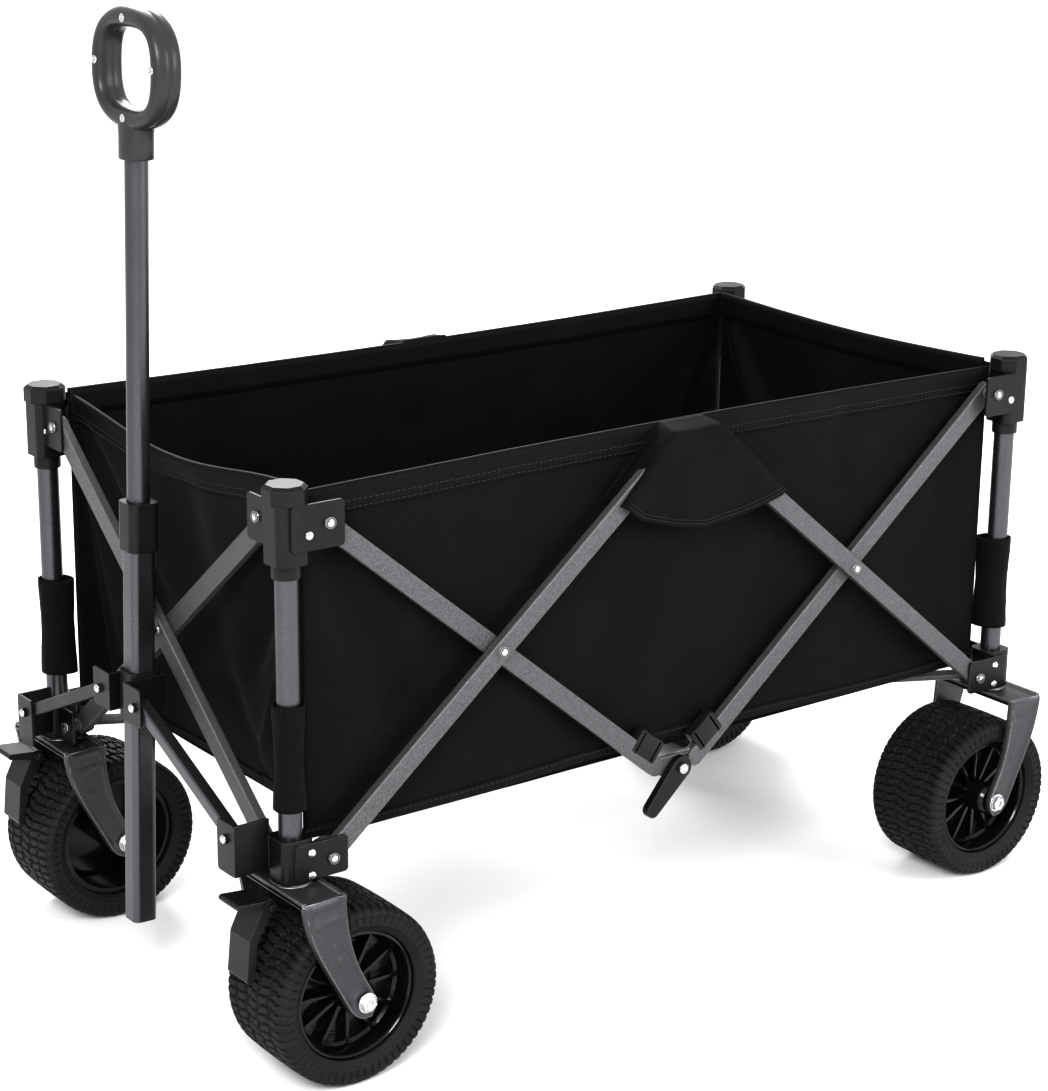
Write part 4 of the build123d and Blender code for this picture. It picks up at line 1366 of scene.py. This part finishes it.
# ------------------------------------------------------------------ forks
@dataclass
class Forks:
    """Cast fork arms with raised edges, on a ribbed crown plate.

    Attributes:
        plan: the frame's sizes.
        top: height of the crown's top face.
        inner: inner face of an arm from the wheel's middle.
        plate: thickness of the web.
        bead: how proud the raised edges stand.
    """

    plan: Plan
    top: float = 0.202
    inner: float = 0.0530
    plate: float = 0.0042
    bead: float = 0.0022
    head_half: float = 0.023
    foot: float = 0.0150
    trail_front: float = 0.044
    trail_rear: float = 0.038

    def half_width(self, t: float) -> float:
        """Half of an arm's width, t from its top to its foot."""
        plain = blend_between(self.head_half, self.foot, smooth_step(0.0, 0.75, t))
        start = 0.86
        if t <= start:
            return plain
        share = (t - start) / (1 - start)
        return plain * math.sqrt(max(0.0, 1 - share * share))

    def centre_line(self, trail: float, t: float) -> tuple[Vector, Vector]:
        """A point of an arm's middle line, in (ahead, z), and its direction."""
        a, b = Vector((0.0, self.top)), Vector((0.003, self.top - 0.045))
        c, d = Vector((trail * 0.45, self.plan.wheel_radius + 0.035)), Vector(
            (trail + 0.004, self.plan.wheel_radius - 0.0145)
        )
        spot = a * (1 - t) ** 3 + b * 3 * t * (1 - t) ** 2 + c * 3 * t * t * (1 - t) + d * t ** 3
        run = (b - a) * 3 * (1 - t) ** 2 + (c - b) * 6 * t * (1 - t) + (d - c) * 3 * t * t
        return spot, run.normalized()

    def arm(self, shape: Shape, post: Vector, back: int, trail: float, outside: int) -> None:
        """Adds one arm.

        Args:
            shape: the fork's shape.
            post: the post's axis.
            back: 1 where the axle lies towards +X.
            trail: the axle's distance from the post.
            outside: 1 for the arm towards +Y.
        """
        steps, cells = 44, 20
        outer_rows, inner_rows = [], []
        for j in range(steps + 1):
            t = j / steps
            spot, run = self.centre_line(trail, t)
            aside = Vector((-run.y, run.x))
            half = max(self.half_width(t), 0.0004)
            outer, inner = [], []
            for i in range(cells + 1):
                a = blend_between(-1.0, 1.0, i / cells)
                p = spot + aside * a * half
                rim = smooth_step(0.62, 0.74, abs(a)) * (1 - smooth_step(0.93, 1.0, abs(a)) * 0.6)
                bars = max(
                    smooth_step(0.028, 0.010, abs(t - 0.035)),
                    smooth_step(0.022, 0.010, abs(t - 0.17)) * 0.8,
                    smooth_step(0.86, 0.90, t),
                )
                boss = 0.0
                for mark in (0.40, 0.52):
                    away = math.hypot((t - mark) * 0.125, a * half)
                    boss = max(boss, smooth_step(0.0045, 0.003, away))
                raise_by = self.bead * max(rim, bars, boss * 0.7)
                dish = 0.0012 * (1 - a * a)
                edge_fall = 0.0016 * smooth_step(0.93, 1.0, abs(a))
                y_out = self.inner + self.plate + raise_by - dish * 0.5 - edge_fall
                outer.append(self.place(post, back, outside, p, y_out))
                inner.append(self.place(post, back, outside, p, self.inner))
            outer_rows.append(outer)
            inner_rows.append(inner)
        shape.grid(outer_rows)
        shape.grid(inner_rows)
        wide = cells + 1
        count = wide * (steps + 1)
        base = len(shape.points) - 2 * count
        rim_ids = list(range(wide)) + [j * wide + cells for j in range(1, steps + 1)]
        rim_ids += [
            steps * wide + i for i in range(cells - 1, -1, -1)
        ] + [j * wide for j in range(steps - 1, 0, -1)]
        for a, b in zip(rim_ids, rim_ids[1:] + rim_ids[:1]):
            shape.faces.append([base + a, base + b, base + count + b, base + count + a])

    def place(self, post: Vector, back: int, outside: int, p: Vector, y: float) -> Vector:
        """A point of an arm in the frame."""
        return Vector((post.x + back * p.x, post.y + outside * y, p.y))

    def build(self) -> None:
        """Makes the four forks with their bolts."""
        for corner, (sx, _) in self.plan.corners().items():
            post = self.plan.post(corner)
            back = -sx
            trail = self.trail_front if sx < 0 else self.trail_rear
            body = f"caster_{'left' if corner == 'fl' else 'right'}" if sx < 0 else f"frame_{corner}"
            shape = Shape()
            for outside in (-1, 1):
                self.arm(shape, post, back, trail, outside)
            crown_z = self.top - 0.0022
            reach = self.inner + self.plate
            shape.block(
                post + Vector((0, 0, crown_z)),
                Vector((self.head_half, 0, 0)),
                Vector((0, reach - 0.0008, 0)),
                Vector((0, 0, 0.0022)),
                0.0012,
            )
            for side in (-1, 1):
                rib = post + Vector((side * (self.head_half - 0.002), 0, crown_z + 0.0006))
                shape.block(
                    rib,
                    Vector((0.0020, 0, 0)),
                    Vector((0, reach - 0.001, 0)),
                    Vector((0, 0, 0.0034)),
                    0.0012,
                )
            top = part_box(f"lower_bracket_{corner}")[0][2] - 0.0004
            up = Vector((0, 0, 1))
            shape.lathe(
                post, up, [(0.0186, self.top - 0.0005), (0.019, self.top + 0.0003), (0.0186, top)], 40
            )
            cast = piece(f"fork_cast_{corner}", shape.mesh("fork"), Coat.GUNMETAL, body, "black_steel")
            sharpen(cast, 50)
            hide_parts(f"fork_{corner}")
            bolt = Shape()
            axle = Vector((post.x + back * trail, post.y, self.plan.wheel_radius))
            y = Vector((0, 1, 0))
            bolt.lathe(axle, y, [(0.0049, -reach - 0.001), (0.0049, reach + 0.001)], 20)
            for outside in (-1, 1):
                face = axle + y * outside * (reach + 0.0012)
                bolt.lathe(face, y * outside, [(0.0098, 0), (0.0102, 0.0006), (0.0098, 0.0014)], 30)
                bolt.lathe(
                    face,
                    y * outside,
                    [
                        (0.0080, 0.0012),
                        (0.0084, 0.0020),
                        (0.0084, 0.0048),
                        (0.0070, 0.0058),
                        (0.0038, 0.0058),
                        (0.0034, 0.0042),
                    ],
                    6,
                )
            nut = [(0.0070, self.top - 0.0098), (0.0105, self.top - 0.0090), (0.0105, self.top - 0.0042)]
            bolt.lathe(post, up, nut, 6)
            bright = piece(
                f"axle_bolt_{corner}", bolt.mesh("bolt"), Coat.RIVET, body, "black_steel", smooth=False
            )
            log.info("%s holds %s", bright.name, cast.name)


# ------------------------------------------------------------------ pull grip
@dataclass
class Grip:
    """The moulded loop at the end of the pull handle, in two halves held by screws.

    Attributes:
        hinge: the handle's hinge.
        lean: how far the handle leans back, in degrees.
        rise: hinge to the loop's middle.
        outer: half of the loop's width and height.
        opening: half of the opening's width and height.
        depth: half of the loop's depth.
        neck: (height over the neck's foot, half width, half depth), from the foot up.
        neck_drop: the neck's foot, below the loop's middle.
    """

    hinge: Point = (-0.483, 0.0, 0.312)
    lean: float = 1.7
    rise: float = 0.605
    outer: tuple[float, float] = (0.0635, 0.0555)
    opening: tuple[float, float] = (0.0460, 0.0360)
    depth: float = 0.0140
    neck: tuple[Point, ...] = (
        (0.0, 0.0150, 0.0150), (0.0010, 0.0158, 0.0156), (0.012, 0.0160, 0.0154), (0.024, 0.0180, 0.0148),
        (0.034, 0.0230, 0.0140), (0.041, 0.0300, 0.0130),
    )
    neck_drop: float = 0.082
    screws: tuple[tuple[float, float], ...] = (
        (0.0, 0.0445), (0.0525, 0.003), (-0.0525, 0.003), (0.0, -0.0445), (0.0, -0.071)
    )

    def axes(self) -> tuple[Vector, Vector, Vector, Vector]:
        """The loop's middle, its width, its height and the way that it faces."""
        tilt = math.radians(self.lean)
        up = Vector((math.sin(tilt), 0.0, math.cos(tilt)))
        return Vector(self.hinge) + up * self.rise, Vector((0, 1, 0)), up, Vector(
            (-math.cos(tilt), 0.0, math.sin(tilt))
        )

    def rounded(self, half: tuple[float, float], power: float, turn: float) -> tuple[float, float]:
        """A point of a rounded outline, turn round from its width."""
        c, v = math.cos(turn), math.sin(turn)
        size = (abs(c) ** power + abs(v) ** power) ** (-1 / power)
        return half[0] * c * size, half[1] * v * size

    def loop(self, shape: Shape) -> None:
        """Adds the loop, with the fine groove where its halves meet."""
        middle, wide, high, face = self.axes()
        sides, facets = 120, 44
        rows = []
        for k in range(sides):
            turn = math.tau * k / sides
            ox, oz = self.rounded(self.outer, 2.25, turn)
            ix, iz = self.rounded(self.opening, 3.4, turn)
            row = []
            for i in range(facets + 1):
                phi = math.tau * i / facets
                c, v = self.rounded((1.0, 1.0), 2.7, phi)
                groove = 0.0009 if abs(math.sin(phi)) < 0.09 else 0.0
                share = 0.5 + 0.5 * c
                x, z = blend_between(ix, ox, share), blend_between(iz, oz, share)
                back = Vector((x, z)).normalized() * groove * (1 if c > 0 else -1)
                row.append(middle + wide * (x - back.x) + high * (z - back.y) + face * self.depth * v)
            rows.append(row)
        shape.grid(rows, closed=True)

    def neck_skin(self, shape: Shape) -> None:
        """Adds the flared neck under the loop."""
        middle, wide, high, face = self.axes()
        rows = []
        for height, half, deep in self.neck:
            row = []
            for i in range(41):
                turn = math.tau * i / 40
                c, v = self.rounded((half, deep), 2.3, turn)
                row.append(middle + high * (height - self.neck_drop) + wide * c + face * v)
            rows.append(row)
        shape.grid(rows)
        base = len(shape.points) - 41 * len(rows)
        shape.faces.append([base + i for i in range(40)])

    def build(self) -> None:
        """Makes the grip and its screws."""
        shape = Shape()
        self.loop(shape)
        self.neck_skin(shape)
        made = piece("grip_moulding", shape.mesh("grip"), Coat.GRIP, "handle_upper", "grip_plastic")
        sharpen(made, 55)
        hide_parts("handle_grip")
        middle, wide, high, face = self.axes()
        screws = Shape()
        for x, z in self.screws:
            foot = middle + wide * x + high * z + face * (self.depth - 0.0007)
            head = [(0.0036, 0.0), (0.0040, 0.0006), (0.0036, 0.0016), (0.0018, 0.0019), (0.0015, 0.0009)]
            screws.lathe(foot, face, head, 24)
        heads = piece("grip_screws", screws.mesh("screws"), Coat.RIVET, "handle_upper", "hammertone_bar")
        sharpen(heads, 40)


# ------------------------------------------------------------------ rivets, boots and trims
@dataclass
class Fasteners:
    """Bright rivet heads and the black boots on the bars' lower ends.

    Attributes:
        plan: the frame's sizes.
        radius: of a pivot rivet's head.
        height: of a pivot rivet's head.
    """

    plan: Plan
    radius: float = 0.0058
    height: float = 0.0030
    small: float = 0.0044
    low_rows: tuple[float, float] = (0.2105, 0.2325)
    high_row: float = 0.5335
    low_inset: float = 0.011
    high_inset: float = 0.013
    ear: tuple[float, float] = (0.028, 0.246)
    wing: tuple[float, float] = (0.034, 0.322)
    hinge: Point = (-0.483, 0.0192, 0.312)
    latch_face: float = 0.0160

    def pivot_heads(self) -> dict[str, list[tuple[Vector, Vector, float]]]:
        """Each body's rivet heads as (foot, direction, radius)."""
        plan, heads = self.plan, {}
        lug = plan.half_length - plan.inset
        cross_u = lug - plan.arm
        for name, side in plan.sides().items():
            long = name in ("left", "right")
            layer = plan.long_layer if long else plan.short_layer
            face = layer + plan.bar_half_depth
            flange = face + plan.flange_gap + plan.flange + plan.head_gap
            if long:
                for end in (-1, 1):
                    part = "front" if side.at(end, 0, 0).x < 0 else "rear"
                    outer, inner = f"bar_{name}_outer_{part}", f"bar_{name}_inner_{part}"
                    heads.setdefault(outer, []).append(
                        (side.at(end * cross_u, plan.cross, face), side.out, self.radius)
                    )
                    heads[outer].append((side.at(end * lug, plan.low_pivot, flange), side.out, self.radius))
                    heads.setdefault(inner, []).append(
                        (side.at(end * lug, plan.high_pivot, flange), side.out, self.radius)
                    )
            else:
                outer, inner = f"bar_{name}_outer", f"bar_{name}_inner"
                heads.setdefault(outer, []).append((side.at(0, plan.cross, face), side.out, self.radius))
                for end in (-1, 1):
                    on_left = side.at(end, 0, 0).y < 0
                    for z in (plan.low_pivot, plan.high_pivot):
                        owner = outer if (z == plan.low_pivot) == on_left else inner
                        heads.setdefault(owner, []).append(
                            (side.at(end * plan.arm, z, flange), side.out, self.radius)
                        )
        return heads

    def bracket_heads(self) -> dict[str, list[tuple[Vector, Vector, float]]]:
        """The small rivets that hold the brackets to the posts."""
        plan, heads = self.plan, {}
        for name, side in plan.sides().items():
            long = name in ("left", "right")
            layer = plan.long_layer if long else plan.short_layer
            face = layer + plan.bar_half_depth + plan.flange_gap + plan.flange
            reach = plan.half_length if long else plan.half_width
            for end in (-1, 1):
                spot = side.at(end * reach, 0, 0)
                corner = ("f" if spot.x < 0 else "r") + ("l" if spot.y < 0 else "r")
                for z in self.low_rows:
                    heads.setdefault(f"frame_{corner}", []).append(
                        (side.at(end * (reach - self.low_inset), z, face), side.out, self.small)
                    )
                heads.setdefault(f"head_{corner}", []).append(
                    (side.at(end * (reach - self.high_inset), self.high_row, face), side.out, self.small)
                )
        return heads

    def linkage_heads(self) -> dict[str, list[tuple[Vector, Vector, float]]]:
        """The rivets of the handle's links, its hinge and the two latches."""
        ahead, plan = Vector((-1, 0, 0)), self.plan
        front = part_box("handle_link_left")[0][0] + 0.0002
        (ear_in, ear_z), (wing, wing_z) = self.ear, self.wing
        link_y = plan.half_width - ear_in
        hinge_x, hinge_y, hinge_z = self.hinge
        heads = {
            "link_left": [
                (Vector((front, -link_y, ear_z)), ahead, self.small),
                (Vector((front, -wing, wing_z)), ahead, self.small),
            ],
            "link_right": [(Vector((front, link_y, ear_z)), ahead, self.small)],
            "handle_bracket": [(Vector((front, wing, wing_z)), ahead, self.small)],
            "handle_lower": [
                (Vector((hinge_x, way * hinge_y, hinge_z)), Vector((0, way, 0)), self.small)
                for way in (-1, 1)
            ],
        }
        for name, bar in (("left", "bar_left_inner_front"), ("right", "bar_right_inner_rear")):
            side = plan.sides()[name]
            heads[bar] = [(side.at(0, plan.low_middle, self.latch_face), side.out, self.radius)]
        return heads

    def boots(self) -> None:
        """Makes the black boots on the ends of the bars that meet at the bottom."""
        plan = self.plan
        cross_u = plan.half_length - plan.inset - plan.arm
        for name in ("left", "right"):
            side = plan.sides()[name]
            for end in (-1, 1):
                run = Vector((end * cross_u, plan.cross - plan.low_middle)).normalized()
                along = side.along * run.x + Vector((0, 0, run.y))
                aside = side.along * -run.y + Vector((0, 0, run.x))
                foot = side.at(0, plan.low_middle, -0.0006)
                part = "front" if foot.x + (side.along * end).x < 0 else "rear"
                shape = Shape()
                shape.block(foot + along * 0.048, along * 0.0175, aside * 0.0122, side.out * 0.0060, 0.0012)
                for step in (0.036, 0.060):
                    shape.block(
                        foot + along * step, along * 0.0018, aside * 0.0130, side.out * 0.0060, 0.0009
                    )
                boot = piece(
                    f"bar_boot_{name}_{part}",
                    shape.mesh("boot"),
                    Coat.BLACK_PLASTIC,
                    f"bar_{name}_inner_{part}",
                    "black_plastic",
                )
                sharpen(boot, 40)

    def build(self) -> None:
        """Makes the rivets, one piece on each body, and the boots."""
        self.boots()
        for label, found in (
            ("pivot_rivets", self.pivot_heads()),
            ("bracket_rivets", self.bracket_heads()),
            ("linkage_rivets", self.linkage_heads()),
        ):
            for body, heads in found.items():
                shape = Shape()
                for foot, out, radius in heads:
                    shape.dome(
                        foot, out, radius, self.height if radius == self.radius else self.height * 0.8
                    )
                piece(f"{label}_{body}", shape.mesh("rivets"), Coat.RIVET, body, "hammertone_bar")


# ------------------------------------------------------------------ carried-over metal
class Metalwork:
    """Dresses the CAD pieces whose shape is already right."""

    COATS: dict[str, Coat] = {
        "bar_": Coat.HAMMERTONE,
        "floor_arm": Coat.HAMMERTONE,
        "post_tube": Coat.GREY_TUBE,
        "handle_lower_tube": Coat.GREY_TUBE,
        "handle_upper_tube": Coat.GREY_TUBE,
        "handle_link_left": Coat.GREY_TUBE,
        "handle_link_right": Coat.BLACK_STEEL,
        "handle_bracket": Coat.BLACK_STEEL,
        "handle_sleeves": Coat.BLACK_PLASTIC,
        "handle_grip": Coat.GRIP,
        "lower_bracket": Coat.BLACK_STEEL,
        "top_bracket": Coat.BLACK_PLASTIC,
        "post_cap": Coat.BLACK_PLASTIC,
        "brake_lever": Coat.BLACK_STEEL,
        "latch_lever": Coat.BLACK_STEEL,
        "fork": Coat.GUNMETAL,
        "hub": Coat.HUB,
        "tyre": Coat.TYRE,
        "tub": Coat.BLACK_PLASTIC,
    }

    def build(self) -> None:
        """Gives each CAD node its finish."""
        for name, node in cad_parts.items():
            coat = next(c for start, c in self.COATS.items() if name.startswith(start))
            node.data.materials.clear()
            node.data.materials.append(coat.material)
            log.info("%s is dressed in %s", name, coat.value.name)


# ------------------------------------------------------------------ studio
@dataclass
class Studio:
    """The floor, the soft lights and the camera."""

    lens: float = 87.31
    place: Point = (-1.6307, -2.1337, 1.2008)
    yaw: float = 37.03
    pitch: float = 16.88
    roll: float = 0.62

    def camera(self) -> None:
        """Sets the camera."""
        data = bpy.data.cameras.new("camera")
        data.lens = self.lens
        data.sensor_width = 36.0
        made = bpy.data.objects.new("camera", data)
        turn = (
            Matrix.Rotation(math.radians(-self.yaw), 4, "Z")
            @ Matrix.Rotation(math.radians(90 - self.pitch), 4, "X")
            @ Matrix.Rotation(math.radians(self.roll), 4, "Z")
        )
        made.matrix_world = Matrix.Translation(self.place) @ turn
        bpy.context.scene.collection.objects.link(made)
        bpy.context.scene.camera = made

    def lamp(self, name: str, place: Point, size: float, power: float) -> None:
        """Adds one soft lamp that faces the wagon."""
        data = bpy.data.lights.new(name, "AREA")
        data.shape = "DISK"
        data.size = size
        data.energy = power
        made = bpy.data.objects.new(name, data)
        made.location = place
        made.rotation_euler = (Vector((0, 0, 0.35)) - Vector(place)).to_track_quat("-Z", "Y").to_euler()
        bpy.context.scene.collection.objects.link(made)

    def floor(self) -> None:
        """Lays the pale floor."""
        shape = Shape()
        half = 14.0
        shape.add(
            [
                Vector((-half, -half, 0)),
                Vector((half, -half, 0)),
                Vector((half, half, 0)),
                Vector((-half, half, 0)),
            ],
            [[0, 1, 2, 3]],
        )
        made = bpy.data.objects.new("floor", shape.mesh("floor"))
        bpy.context.scene.collection.objects.link(made)
        material = bpy.data.materials.new("pale floor")
        material.use_nodes = True
        shader = material.node_tree.nodes["Principled BSDF"]
        shader.inputs["Base Color"].default_value = rgba((0.86, 0.86, 0.86))
        shader.inputs["Roughness"].default_value = 0.9
        made.data.materials.append(material)
        made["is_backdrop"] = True

    def build(self) -> None:
        """Makes the studio."""
        self.camera()
        self.floor()
        bpy.context.scene.view_settings.view_transform = "Standard"
        bpy.context.scene.view_settings.look = "High Contrast"
        world = bpy.data.worlds.new("studio")
        world.use_nodes = True
        world.node_tree.nodes["Background"].inputs["Color"].default_value = rgba((1.0, 1.0, 1.0))
        world.node_tree.nodes["Background"].inputs["Strength"].default_value = 0.95
        bpy.context.scene.world = world
        self.lamp("key", (-2.6, -2.4, 2.6), 1.6, 130.0)
        self.lamp("fill", (1.8, -3.0, 1.6), 2.0, 60.0)
        self.lamp("rim", (1.2, 2.8, 2.8), 1.8, 80.0)


# ------------------------------------------------------------------ assembly
def main() -> None:
    """Builds the groups, the studio and every sub-assembly in order."""
    logging.basicConfig(level=logging.INFO, format="%(name)s: %(message)s")
    for build in (speckle_group, edge_highlight_group, weave_group, dust_group):
        build()
    plan = Plan.read()
    Studio().build()
    Metalwork().build()
    for part in (Wheels(plan), Forks(plan), Tub(plan), Grip(), Fasteners(plan)):
        part.build()
    bpy.context.view_layer.update()
    boxes = {"cad": CAD_BOX, "visual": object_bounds()}
    {k: [[float(x) for x in corner] for corner in v] for k, v in boxes.items()}


if __name__ == "__main__":
    main()
